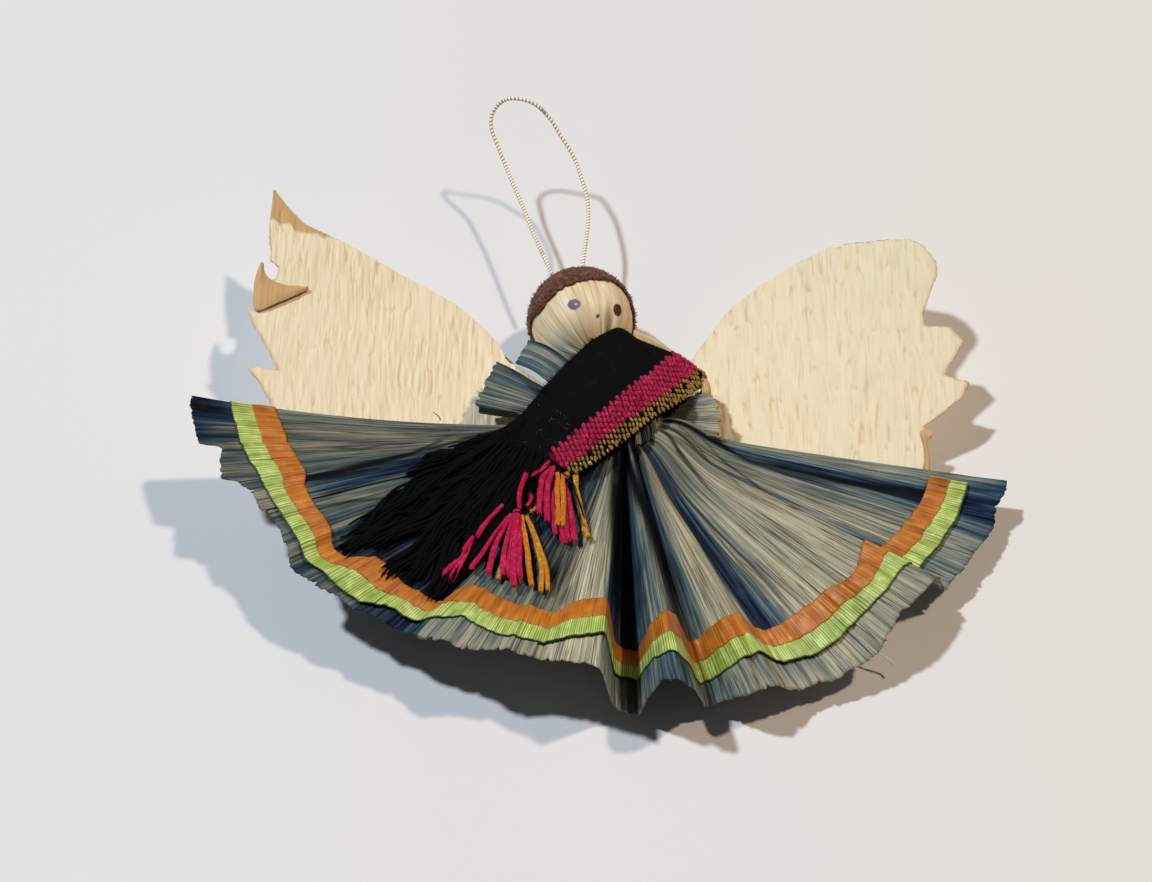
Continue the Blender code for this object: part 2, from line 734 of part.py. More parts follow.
def sash(finish):
    """The woven sash, over the right shoulder and down across the chest."""
    rows = [[Vector(point) * SASH_SPAN for point in row] for row in SASH_SHARES]
    back = []
    for point, share in zip(rows[0], SASH_DROP_SHARES):
        back.append(point + BODY_AXIS * SASH_SHOULDER_REACH - UP * (SASH_SHOULDER_DROP * share))
    rows = [back] + rows
    columns = list(zip(*rows))
    fine = [smooth_route([Vector(point) for point in column], 2) for column in columns]
    across = [smooth_route([column[r] for column in fine], 2) for r in range(len(fine[0]))]
    return sheet("sash", across, CLOTH, finish)


def wing(name, table, side, tab_reach, shoulder_reach, tip_lift, low_share, finish):
    """A crepe paper wing with its glued root under the body and a torn outer edge."""
    rows = []
    for rise, inner, outer in table:
        row = []
        for k in range(WING_COLUMNS + 1):
            reach = WING_SPAN * (inner + (outer - inner) * k / WING_COLUMNS)
            ramp = min(1.0, max(0.0, (reach - tab_reach) / (shoulder_reach - tab_reach)))
            ramp = ramp * ramp * (3 - ramp - ramp)
            spread = max(0.0, (reach - shoulder_reach) / (WING_SPAN - shoulder_reach))
            above = max(0.0, rise - LOWEST_RISE_SHARE) / (1 - LOWEST_RISE_SHARE)
            upward = low_share + (1 - low_share) * above
            height = WING_ROOT_TOP + (WING_SHOULDER_LIFT - WING_ROOT_TOP) * ramp
            height += tip_lift * spread * upward
            row.append(Vector((side * reach, WING_RISE * rise, height)))
        rows.append(row)
    return sheet(name, rows, CREPE, finish)


def build():
    clear_scene()
    husk_blue = material("husk_blue", (0.20, 0.27, 0.31), 0.7)
    husk_under = material("husk_under", (0.05, 0.08, 0.14), 0.75)
    husk_pale = material("husk_pale", (0.72, 0.58, 0.38), 0.6)
    crepe = material("crepe_cream", (0.82, 0.70, 0.47), 0.85)
    foam = material("foam", (0.85, 0.85, 0.82), 0.9)
    hair = material("hair_brown", (0.12, 0.05, 0.03), 0.95)
    gold = material("gold_cord", (0.80, 0.62, 0.30), 0.3, 0.9)
    thread = material("thread", (0.75, 0.68, 0.52), 0.8)
    orange = material("ribbon_orange", (0.65, 0.18, 0.03), 0.4)
    lime = material("ribbon_lime", (0.45, 0.60, 0.10), 0.35)
    black = material("yarn_black", (0.012, 0.011, 0.012), 0.95)
    pink = material("yarn_pink", (0.70, 0.03, 0.15), 0.9)

    core = body_core(husk_pale)
    waist_tie(thread)
    cover = bodice(husk_blue)
    arms(husk_pale, core, cover)
    head(foam, husk_pale, thread, hair)
    hanging_loop(gold)
    skirt_leaves(husk_blue)
    under_leaves(husk_under)
    ribbons(orange, lime)
    sleeve("left_sleeve", LEFT_SHOULDER, LEFT_CUFF, LEFT_SHOULDER_RADIUS, LEFT_CUFF_RADIUS, husk_blue)
    sleeve("right_sleeve", RIGHT_SHOULDER, RIGHT_CUFF, RIGHT_SHOULDER_RADIUS, RIGHT_CUFF_RADIUS, husk_blue)
    collar(husk_blue)
    sash(black)
    yarns_on_skirt("sash_fringe", FRINGE_SHARES, 10, FRINGE_GAP, FRINGE_THICKNESS, black)
    yarns_on_skirt("upper_tassel", UPPER_TASSEL_SHARES, 6, FRINGE_GAP, TASSEL_THICKNESS, pink)
    yarns_on_skirt("lower_tassel", LOWER_TASSEL_SHARES, 6, FRINGE_GAP, TASSEL_THICKNESS, pink)
    yarns_on_skirt("outer_tassel", OUTER_TASSEL_SHARES, 2, FRINGE_GAP, TASSEL_THICKNESS, pink)
    wing(
        "left_wing",
        LEFT_WING_SHARES,
        -1,
        LEFT_TAB_REACH,
        LEFT_SHOULDER_REACH,
        LEFT_WING_TIP_LIFT,
        LEFT_LOW_EDGE_SHARE,
        crepe,
    )
    wing(
        "right_wing",
        RIGHT_WING_SHARES,
        1,
        RIGHT_TAB_REACH,
        RIGHT_SHOULDER_REACH,
        RIGHT_WING_TIP_LIFT,
        RIGHT_LOW_EDGE_SHARE,
        crepe,
    )


build()
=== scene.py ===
# %% [markdown]
# A corn husk angel, dressed
#
# The doll lies on its back on a pale table. Its solids come from the packed
# model as a fixed frame, and this file gives it its looks: folded, dyed husk
# leaves, two ribbons, crepe paper wings, a woven sash with loose yarns, a
# plush head of hair and a gold cord to hang it by. Each piece stays where its
# solid is, so the looks can be rich while the object keeps its size.

import math

import bpy
import numpy as np
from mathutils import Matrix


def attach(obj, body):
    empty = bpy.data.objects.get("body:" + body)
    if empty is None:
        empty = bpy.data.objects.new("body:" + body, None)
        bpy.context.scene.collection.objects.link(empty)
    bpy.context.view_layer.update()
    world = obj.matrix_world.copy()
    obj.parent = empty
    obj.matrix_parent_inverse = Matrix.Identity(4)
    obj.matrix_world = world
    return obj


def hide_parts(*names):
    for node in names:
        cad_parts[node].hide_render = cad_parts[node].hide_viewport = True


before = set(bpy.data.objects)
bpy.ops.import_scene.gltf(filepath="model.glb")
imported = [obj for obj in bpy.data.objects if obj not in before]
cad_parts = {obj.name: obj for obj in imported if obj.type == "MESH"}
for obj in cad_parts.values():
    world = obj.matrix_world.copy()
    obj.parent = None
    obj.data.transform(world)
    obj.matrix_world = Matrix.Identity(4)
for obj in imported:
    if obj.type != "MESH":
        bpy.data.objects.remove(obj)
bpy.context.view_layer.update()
print("solids loaded:", len(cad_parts))

# %% [markdown]
# The camera
#
# The photograph looks down at the doll from the skirt's side, about fifty
# degrees above the table. A long lens from 0.6 m away keeps the wings and the
# skirt in the same proportions as in the picture.

# %% Camera
CAMERA_PLACE = (-0.0093, -0.38269, 0.46297)
CAMERA_TILT = math.radians(40)
CAMERA_LENS = 93.75

camera_lens = bpy.data.cameras.new("photo_angle")
camera_lens.lens = CAMERA_LENS
camera_lens.sensor_width = 36
camera_lens.clip_start = 0.01
camera = bpy.data.objects.new("photo_angle", camera_lens)
camera.location = CAMERA_PLACE
camera.rotation_euler = (CAMERA_TILT, 0, 0)
bpy.context.collection.objects.link(camera)
bpy.context.scene.camera = camera
print("camera height in metres:", CAMERA_PLACE[2])

# %% [markdown]
# Meshes from grids
#
# Husk, ribbon, paper and cloth are all thin sheets, so nearly every piece
# starts as a grid of points. A grid can be bent by plain arithmetic on whole
# arrays, which is quick and gives the same result each time. The sheet gets
# its thickness from a Solidify modifier, which keeps the grid's face as the
# upper side. Numbers stored at the points tell the material what lies where.

# %% Grids, notes and sheets
MM = 0.001
UP = np.array([0.0, 0.0, 1.0])
VECTOR_NOTES = ("fibres", "ribbon")


def unit(vector):
    vector = np.asarray(vector, float)
    return vector / np.linalg.norm(vector, axis=-1, keepdims=True)


def clamp(values):
    return np.clip(values, 0, 1)


def steps_along(count, start=0.0, end=1.0):
    """Even steps down a grid, as a column."""
    return np.linspace(start, end, count)[:, None]


def turns_round(count):
    return np.arange(count) / count * math.tau


def together(*values):
    """Values of any shapes that match, side by side as vectors."""
    return np.stack(np.broadcast_arrays(*[np.asarray(value, float) for value in values]), -1)


def grid_faces(rows, columns, round_across=False):
    """The quads of a grid of points. A grid that is round across joins its last column to its first."""
    wide = columns if round_across else columns - 1
    r, c = np.meshgrid(np.arange(rows - 1), np.arange(wide), indexing="ij")
    right = (c + 1) % columns
    corners = [r * columns + c, (r + 1) * columns + c, (r + 1) * columns + right, r * columns + right]
    return np.stack(corners, -1).reshape(-1, 4)


def capped_faces(rows, sides, count=1):
    """The faces of closed tubes that have the same grid: all quads, then both ends of each."""
    starts = np.arange(count) * rows * sides
    faces = (grid_faces(rows, sides, True) + starts[:, None, None]).reshape(-1, 4).tolist()
    for start in starts.tolist():
        last = start + (rows - 1) * sides
        faces += [range(start, start + sides), range(last + sides - 1, last - 1, -1)]
    return faces


def bowl_faces(rows, columns):
    """The faces of a grid round a pole, seen from outside, closed at its first row."""
    return [*grid_faces(rows, columns, True)[:, ::-1].tolist(), range(columns - 1, -1, -1)]


def note(piece, name, values):
    """Stores a number or a vector for each point, which the material reads by name."""
    wide = name in VECTOR_NOTES
    stored_values = piece.data.attributes.new(name, "FLOAT_VECTOR" if wide else "FLOAT", "POINT")
    stored_values.data.foreach_set("vector" if wide else "value", np.asarray(values, float).ravel())


def new_mesh(name, points, faces, finish, slot, node=None, body="doll", **notes):
    """A mesh that rides on a body, has its notes and takes a solid's place where a node is given."""
    points = np.asarray(points, float)
    mesh = bpy.data.meshes.new(name)
    mesh.from_pydata(points.reshape(-1, 3).tolist(), [], [tuple(face) for face in faces])
    mesh.validate()
    mesh.shade_smooth()
    mesh.materials.append(finish)
    made = bpy.data.objects.new(name, mesh)
    bpy.context.collection.objects.link(made)
    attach(made, body)
    for label, values in notes.items():
        shape = points.shape if label in VECTOR_NOTES else points.shape[:-1]
        note(made, label, np.broadcast_to(values, shape))
    if node:
        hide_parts(node)
    return made


def thicken(piece, thickness):
    solid = piece.modifiers.new("thickness", "SOLIDIFY")
    solid.thickness = thickness
    solid.offset = -1
    solid.use_even_offset = False
    return piece


def sheet_piece(name, points, thickness, finish, slot, node=None, flip=False, **notes):
    """A thin sheet from a grid of points."""
    faces = grid_faces(*points.shape[:2])
    piece = new_mesh(name, points, faces[:, ::-1] if flip else faces, finish, slot, node, **notes)
    return thicken(piece, thickness)


# %% [markdown]
# Routes and tubes
#
# Cords, threads and yarns are tubes round a route. The route is a smooth curve
# through a few places, and two directions are carried along it without a
# twist, so that the tube never wrings itself.

# %% Routes and tubes
def smooth_route(points, steps):
    """Points read from a smooth curve through the given ones, as the solids' own routes are."""
    points = np.asarray(points, float)
    last = len(points) - 1
    route = []
    for k in range(last):
        p0, p1, p2, p3 = points[max(k - 1, 0)], points[k], points[k + 1], points[min(k + 2, last)]
        for j in range(steps):
            t = j / steps
            bend = (p2 - p0) * (t / 2) + (p0 * 2 - p1 * 5 + p2 * 4 - p3) * (t * t / 2)
            route.append(p1 + bend + (p1 * 3 - p0 - p2 * 3 + p3) * (t**3 / 2))
    route.append(points[last])
    return np.array(route)


def length_along(route):
    return np.r_[0, np.cumsum(np.linalg.norm(np.diff(route, axis=0), axis=1))]


def evenly(route, step):
    """The same route with its points a set distance apart."""
    along = length_along(route)
    places = np.linspace(0, along[-1], int(along[-1] / step) + 1)
    return np.stack([np.interp(places, along, route[:, k]) for k in range(3)], 1), places


def sides_of(route):
    """Two directions square to a route at each of its points, carried along without twisting."""
    ahead = unit(np.gradient(route, axis=0))
    side = np.cross(ahead[0], UP)
    if np.linalg.norm(side) < 0.1:
        side = np.array([1.0, 0.0, 0.0])
    first = []
    for direction in ahead:
        side = unit(side - direction * (side @ direction))
        first.append(side)
    return np.array(first), np.cross(first, ahead)


def tube_grid(route, radius, sides):
    """A grid of points round a route. The radius may change along it and round it."""
    first, second = sides_of(route)
    turn = turns_round(sides)
    radius = np.broadcast_to(np.asarray(radius, float), (len(route), sides))[..., None]
    out = first[:, None] * np.cos(turn)[:, None] + second[:, None] * np.sin(turn)[:, None]
    return route[:, None] + out * radius


def tube_piece(name, route, radius, sides, finish, slot, node=None, body="doll", **notes):
    faces = capped_faces(len(route), sides)
    return new_mesh(name, tube_grid(route, radius, sides), faces, finish, slot, node, body, **notes)


# %% [markdown]
# Seeded roughness
#
# Nothing on the doll is smooth, but nothing may change from one run to the
# next either. This noise is a fixed table of random numbers, read smoothly
# between its cells, so it wobbles the same way each time.

# %% Smooth noise
CELLS = 256
cell_numbers = np.random.default_rng(11).permutation(CELLS)
cell_values = np.random.default_rng(12).uniform(-1, 1, CELLS)


def wobble(seed, u, v=0.0):
    """Smooth noise from -1 to 1 at the places u, v."""
    u, v = np.broadcast_arrays(np.asarray(u, float), np.asarray(v, float))
    u0, v0 = np.floor(u).astype(int), np.floor(v).astype(int)
    fu, fv = u - u0, v - v0
    fu, fv = fu * fu * (3 - 2 * fu), fv * fv * (3 - 2 * fv)

    def corner(i, j):
        return cell_values[cell_numbers[(cell_numbers[(u0 + i) % CELLS] + v0 + j + seed * 37) % CELLS]]

    near = corner(0, 0) * (1 - fu) + corner(1, 0) * fu
    far = corner(0, 1) * (1 - fu) + corner(1, 1) * fu
    return near * (1 - fv) + far * fv


def ridges(seed, u, v=0.0):
    """Noise with sharp valleys, from -1 in a valley to 1 on a ridge."""
    return 1 - 2 * (1 - np.abs(wobble(seed, u, v))) ** 3


print("noise at a test place:", round(float(wobble(1, 0.5, 0.5)), 3))

# %% [markdown]
# Shared effects
#
# Husk, paper and yarn show the same few effects, such as fibres that run one
# way and soft spots. Each effect is one node group with named inputs, so every
# material places it with its own values. The groups put out masks and heights
# only, and the shader stays in the material. Colours are written as red, green
# and blue from 0 to 255, as they look on a screen.

# %% Building node groups and materials
def screen(red, green, blue):
    """A colour as it looks on a screen, as the linear one that a shader takes."""
    shares = [value / 255 for value in (red, green, blue)]
    return (*[s / 12.92 if s <= 0.04045 else ((s + 0.055) / 1.055) ** 2.4 for s in shares], 1.0)


def feed(tree, socket, value):
    """Links a value that is a socket, and sets any other."""
    if isinstance(value, bpy.types.NodeSocket):
        tree.links.new(value, socket)
    else:
        socket.default_value = value


def add(tree, kind, inputs=(), **settings):
    """A node with its settings and its inputs, which are sockets or plain values."""
    made = tree.nodes.new(kind)
    for label, value in settings.items():
        setattr(made, label, value)
    for label, value in dict(inputs).items():
        feed(tree, made.inputs[label], value)
    return made


def new_group(name, inputs, outputs):
    """An empty node group. Inputs are names with their values, or with None for a vector."""
    group = bpy.data.node_groups.new(name, "ShaderNodeTree")
    for label, value in inputs.items():
        kind = "NodeSocketVector" if value is None else "NodeSocketFloat"
        socket = group.interface.new_socket(label, in_out="INPUT", socket_type=kind)
        if value is not None:
            socket.default_value = value
    for label in outputs:
        group.interface.new_socket(label, in_out="OUTPUT", socket_type="NodeSocketFloat")
    return group, group.nodes.new("NodeGroupInput").outputs, group.nodes.new("NodeGroupOutput").inputs


def use_group(tree, group, inputs):
    return add(tree, "ShaderNodeGroup", inputs, node_tree=group).outputs


def math_node(tree, operation, *values):
    return add(tree, "ShaderNodeMath", enumerate(values), operation=operation).outputs[0]


def vector_node(tree, operation, *values):
    made = add(tree, "ShaderNodeVectorMath", enumerate(values), operation=operation)
    return made.outputs["Value" if operation == "LENGTH" else "Vector"]


def scaled(tree, value, by):
    return math_node(tree, "MULTIPLY", value, by)


def weighed(tree, *terms, plus=0.0):
    """The sum of values times their weights, and of one more value."""
    for value, weight in terms:
        plus = math_node(tree, "MULTIPLY_ADD", value, weight, plus)
    return plus


def remap(tree, value, low, high, to_low=0.0, to_high=1.0):
    inputs = {"Value": value, "From Min": low, "From Max": high, "To Min": to_low, "To Max": to_high}
    return add(tree, "ShaderNodeMapRange", inputs).outputs[0]


def ramp(tree, value, stops):
    """A colour ramp. Stops are (place, (red, green, blue))."""
    made = add(tree, "ShaderNodeValToRGB", {"Fac": value})
    elements = made.color_ramp.elements
    elements.remove(elements[0])
    for k, (place, colour) in enumerate(stops):
        element = elements[0] if k == 0 else elements.new(place)
        element.position = place
        element.color = screen(*colour)
    return made.outputs["Color"]


def mix(tree, share, first, second):
    """Two colours mixed, each a socket or (red, green, blue)."""
    first, second = (screen(*colour) if isinstance(colour, tuple) else colour for colour in (first, second))
    return add(tree, "ShaderNodeMix", {0: share, 6: first, 7: second}, data_type="RGBA").outputs[2]


def stored(tree, name, output="Fac"):
    return add(tree, "ShaderNodeAttribute", attribute_name=name).outputs[output]


def new_finish(name, roughness, **settings):
    """A material with its Principled shader. Settings are plain values on the shader's own sockets."""
    made = bpy.data.materials.new(name)
    made.use_nodes = True
    shader = made.node_tree.nodes["Principled BSDF"]
    shader.inputs["Roughness"].default_value = roughness
    for label, value in settings.items():
        shader.inputs[label.replace("_", " ")].default_value = value
    return made, made.node_tree, shader


def paint(tree, shader, colour, roughness=None):
    tree.links.new(colour, shader.inputs["Base Color"])
    if roughness:
        tree.links.new(roughness, shader.inputs["Roughness"])


def bump(tree, shader, height, strength, distance):
    made = add(tree, "ShaderNodeBump", {"Strength": strength, "Distance": distance, "Height": height})
    tree.links.new(made.outputs[0], shader.inputs["Normal"])


print("node helpers ready")

# %% [markdown]
# Husk fibres
#
# A corn husk is a bundle of parallel fibres, some pale, some dark, with wider
# bands of colour between them. The points of each husk piece store how far
# across and along the leaf they lie. Noise that is stretched along the leaf
# then draws the fibres, whatever way the leaf is folded. A vein is a thin line
# where such noise crosses a level.

# %% The group of husk fibres
BROAD, FINE, VEIN, HAIR_LINE = (0.45, 0.035, 3.0), (3.2, 0.06, 3.0), (1.5, 0.020, 1.5), (4.2, 0.030, 1.5)

fibre_group, group_in, group_out = new_group(
    "husk_fibres", {"Place": None, "Density": 1.0}, ("Bands", "Fibres", "Veins")
)


def stretched_noise(tree, place, density, across, along, detail):
    """Noise that changes fast across the fibres and slowly along them."""
    stretch = add(tree, "ShaderNodeCombineXYZ", {"X": scaled(tree, density, across), "Y": along, "Z": 1.0})
    spread = vector_node(tree, "MULTIPLY", place, stretch.outputs[0])
    inputs = {"Vector": spread, "Scale": 1.0, "Detail": detail, "Roughness": 0.6}
    return add(tree, "ShaderNodeTexNoise", inputs).outputs["Fac"]


def fibre_noise(shape):
    return stretched_noise(fibre_group, group_in["Place"], group_in["Density"], *shape)


def veins_at(shape, level, half_width):
    off = math_node(fibre_group, "SUBTRACT", fibre_noise(shape), level)
    return remap(fibre_group, math_node(fibre_group, "ABSOLUTE", off), 0.0, half_width, 1.0, 0.0)


thin_veins = scaled(fibre_group, veins_at(HAIR_LINE, 0.46, 0.028), 0.7)
feed(fibre_group, group_out["Bands"], remap(fibre_group, fibre_noise(BROAD), 0.3, 0.7))
feed(fibre_group, group_out["Fibres"], remap(fibre_group, fibre_noise(FINE), 0.34, 0.66))
feed(fibre_group, group_out["Veins"], math_node(fibre_group, "MAXIMUM", veins_at(VEIN, 0.5, 0.036), thin_veins))


def fibres_in(tree, density):
    return use_group(tree, fibre_group, {"Density": density, "Place": stored(tree, "fibres", "Vector")})


print("sockets of the fibre group:", len(fibre_group.interface.items_tree))

# %% [markdown]
# Speckle
#
# Dust, lint, stains and worn dye are all soft-edged spots of some size. One
# group turns noise in the object's own space into such a mask, and its inputs
# say how large the spots are and how much of the surface they cover. Thread,
# foam and lint need no more than two colours mixed by it.

# %% The group of spots
spot_group, group_in, group_out = new_group(
    "soft_spots", {"Size": 0.002, "Cover": 0.5, "Softness": 0.1}, ("Mask", "Height")
)
spot_inputs = {
    "Vector": add(spot_group, "ShaderNodeTexCoord").outputs["Object"],
    "Scale": math_node(spot_group, "DIVIDE", 1.0, group_in["Size"]),
    "Detail": 3.0,
}
spot_noise = add(spot_group, "ShaderNodeTexNoise", spot_inputs).outputs["Fac"]
spot_level = math_node(spot_group, "SUBTRACT", 1.0, group_in["Cover"])
spot_high = math_node(spot_group, "ADD", spot_level, group_in["Softness"])
feed(spot_group, group_out["Mask"], remap(spot_group, spot_noise, spot_level, spot_high))
feed(spot_group, group_out["Height"], spot_noise)


def spots_in(tree, size, cover=0.5, softness=0.3):
    return use_group(tree, spot_group, {"Size": size, "Cover": cover, "Softness": softness})


def mottled(name, roughness, size, dark, pale, softness=0.3, relief=None):
    """A finish of two colours in soft spots, with a relief of (strength, depth) where it has one."""
    made, tree, shader = new_finish(name, roughness)
    spots = spots_in(tree, size, softness=softness)
    paint(tree, shader, mix(tree, spots["Mask"], dark, pale))
    if relief:
        bump(tree, shader, spots["Height"], *relief)
    return made


print("sockets of the spot group:", len(spot_group.interface.items_tree))

# %% [markdown]
# Dyed husk
#
# The skirt and sleeves are husk dyed blue by hand. The dye took unevenly: raw
# tan on the ridges, slate on the flanks, navy where it pooled in the folds,
# and the same stored amount also paints light and shade: paler ridge tops as
# painted light, blue-black in the deepest folds as painted shade. So each
# point stores how much dye and painted shade it has, the fibres shift that
# amount a little, and one ramp from raw husk to blue-black turns it into a
# colour. Dirt and painted shade in deep creases are stored at the points too,
# and darken it.

# %% Dyed and natural husk
# The darkest stops, navy to blue-black, also serve as painted shade in the deep pleats
DYE_AND_SHADE_STOPS = (
    (0.0, (222, 210, 176)),
    (0.14, (196, 188, 158)),
    (0.30, (166, 162, 140)),
    (0.44, (126, 137, 130)),
    (0.57, (84, 101, 106)),
    (0.68, (50, 76, 102)),
    (0.80, (24, 42, 72)),
    (0.90, (10, 15, 26)),
    (1.0, (3, 4, 6)),
)


def dyed_husk(name, density, shade_shift=0.0, dirt_and_shade=(7, 7, 8)):
    made, tree, shader = new_finish(name, 0.66, Specular_IOR_Level=0.10)
    fibres = fibres_in(tree, density)
    taken = weighed(tree, (fibres["Bands"], 0.38), (fibres["Fibres"], 0.24), plus=stored(tree, "dye"))
    colour = ramp(tree, math_node(tree, "SUBTRACT", taken, 0.33 - shade_shift), DYE_AND_SHADE_STOPS)
    # The dark colour stands for dirt and for painted shade in the pleats and creases
    colour = mix(tree, stored(tree, "grime"), colour, dirt_and_shade)
    colour = mix(tree, scaled(tree, fibres["Veins"], 0.84), colour, (20, 21, 20))
    stain = scaled(tree, spots_in(tree, 0.004, 0.42, 0.16)["Mask"], 0.22)
    colour = mix(tree, stain, colour, (74, 66, 52))
    paint(tree, shader, colour, remap(tree, fibres["Bands"], 0, 1, 0.5, 0.75))
    bump(tree, shader, weighed(tree, (fibres["Veins"], -0.8), plus=fibres["Fibres"]), 0.55, 0.00012)
    return made


def natural_husk(name, pale, middle, dark, density=1.4):
    made, tree, shader = new_finish(name, 0.5)
    fibres = fibres_in(tree, density)
    level = weighed(tree, (fibres["Bands"], 0.55), (fibres["Fibres"], 0.45))
    colour = ramp(tree, level, ((0.12, dark), (0.42, middle), (0.75, pale)))
    colour = mix(tree, scaled(tree, fibres["Veins"], 0.35), colour, dark)
    paint(tree, shader, colour)
    bump(tree, shader, fibres["Fibres"], 0.5, 0.0001)
    return made, tree, shader, colour


skirt_husk = dyed_husk("skirt_husk", 1.0)
sleeve_husk = dyed_husk("sleeve_husk", 1.6, dirt_and_shade=(58, 46, 34))
# The back leaves are shifted darker as painted shade
under_husk = dyed_husk("under_husk", 1.0, 0.05)
arm_husk = natural_husk("arm_husk", (226, 194, 136), (204, 164, 104), (150, 108, 60))[0]
core_husk = natural_husk("core_husk", (226, 206, 164), (200, 172, 124), (150, 118, 76))[0]
print("stops of the dye:", len(DYE_AND_SHADE_STOPS))

# %% [markdown]
# The hanging loop
#
# A stiff cord of about 0.1 m is glued to the crown by both ends. It is a
# thread core wound with gold foil, so close up it is a row of bright turns
# with dark lines between. The route is the solid's own. A tube follows it,
# and its radius rises and falls along a helix, so the winding is real relief.
# Its colour follows the helix as well: painted shade in the grooves and a
# near-white painted highlight on each turn.

# %% Gold cord finish
GOLD_SHADE_AND_HIGHLIGHT_STOPS = ((0.0, (104, 66, 24)), (0.30, (190, 150, 84)), (0.52, (248, 236, 196)), (1.0, (255, 253, 236)))

gold_finish, tree, shader = new_finish("gold_winding", 0.32, Specular_IOR_Level=0.8)
turn_place = stored(tree, "winding")
worn = scaled(tree, spots_in(tree, 0.006, 0.40, 0.06)["Mask"], 0.55)
# Dark in the grooves and near white on the crests: painted shade and painted highlight
colour = mix(tree, worn, ramp(tree, turn_place, GOLD_SHADE_AND_HIGHLIGHT_STOPS), (104, 74, 40))
paint(tree, shader, colour, remap(tree, turn_place, 0, 1, 0.6, 0.28))
bump(tree, shader, turn_place, 0.4, 0.0001)

# %% The cord's route and its winding
CORD_DIAMETER = 0.0008
LOOP_POINTS = (
    (-0.01412, 0.03726, 0.01536),
    (-0.01567, 0.04179, 0.01522),
    (-0.01755, 0.04741, 0.01502),
    (-0.01929, 0.05315, 0.01502),
    (-0.02100, 0.05878, 0.01522),
    (-0.02273, 0.06377, 0.01550),
    (-0.02422, 0.06825, 0.01602),
    (-0.02591, 0.07226, 0.01802),
    (-0.02714, 0.07502, 0.02002),
    (-0.02703, 0.07718, 0.02202),
    (-0.02572, 0.07811, 0.02402),
    (-0.02425, 0.07805, 0.02550),
    (-0.02253, 0.07747, 0.02650),
    (-0.02064, 0.07715, 0.02650),
    (-0.01897, 0.07673, 0.02622),
    (-0.01688, 0.07614, 0.02502),
    (-0.01455, 0.07462, 0.02302),
    (-0.01266, 0.07218, 0.02102),
    (-0.01097, 0.07013, 0.01950),
    (-0.00952, 0.06777, 0.01802),
    (-0.00824, 0.06372, 0.01702),
    (-0.00730, 0.06012, 0.01622),
    (-0.00679, 0.05644, 0.01582),
    (-0.00680, 0.05168, 0.01562),
    (-0.00722, 0.04692, 0.01550),
    (-0.00767, 0.04266, 0.01550),
    (-0.00797, 0.03895, 0.01532),
)
ROUTE_STEPS = 2
FINE_STEP = 0.00009
WINDING_PITCH = 0.00080
WINDING_RELIEF = 0.00010
WINDING_SIDES = 18

loop_route = smooth_route(LOOP_POINTS, ROUTE_STEPS)
fine_route, along_route = evenly(smooth_route(loop_route, 4), FINE_STEP)
phase = along_route[:, None] / WINDING_PITCH + np.arange(WINDING_SIDES) / WINDING_SIDES
winding = (0.5 + 0.5 * np.cos(phase * math.tau)) ** 0.6
loop = tube_piece(
    "gold_loop",
    fine_route,
    CORD_DIAMETER / 2 + (winding - 0.6) * WINDING_RELIEF,
    WINDING_SIDES,
    gold_finish,
    "gold_cord",
    "hanging_loop",
    "loop",
    winding=winding,
)
print("cord length in metres:", round(float(along_route[-1]), 4))

# %% [markdown]
# The skirt's folds
#
# The skirt is a fan of husk leaves that all start at the waist, so each fold
# is a straight line from the waist to the hem. One table gives, for a set of
# directions in degrees, the hem's reach and lift as shares of the largest, and
# where on the fold the two ribbons start and end. A point anywhere on the
# skirt is then a share of the way out along its fold. Between the table's
# directions a smooth curve joins the values, so the folds are rolled and the
# humps stay where the table has them.

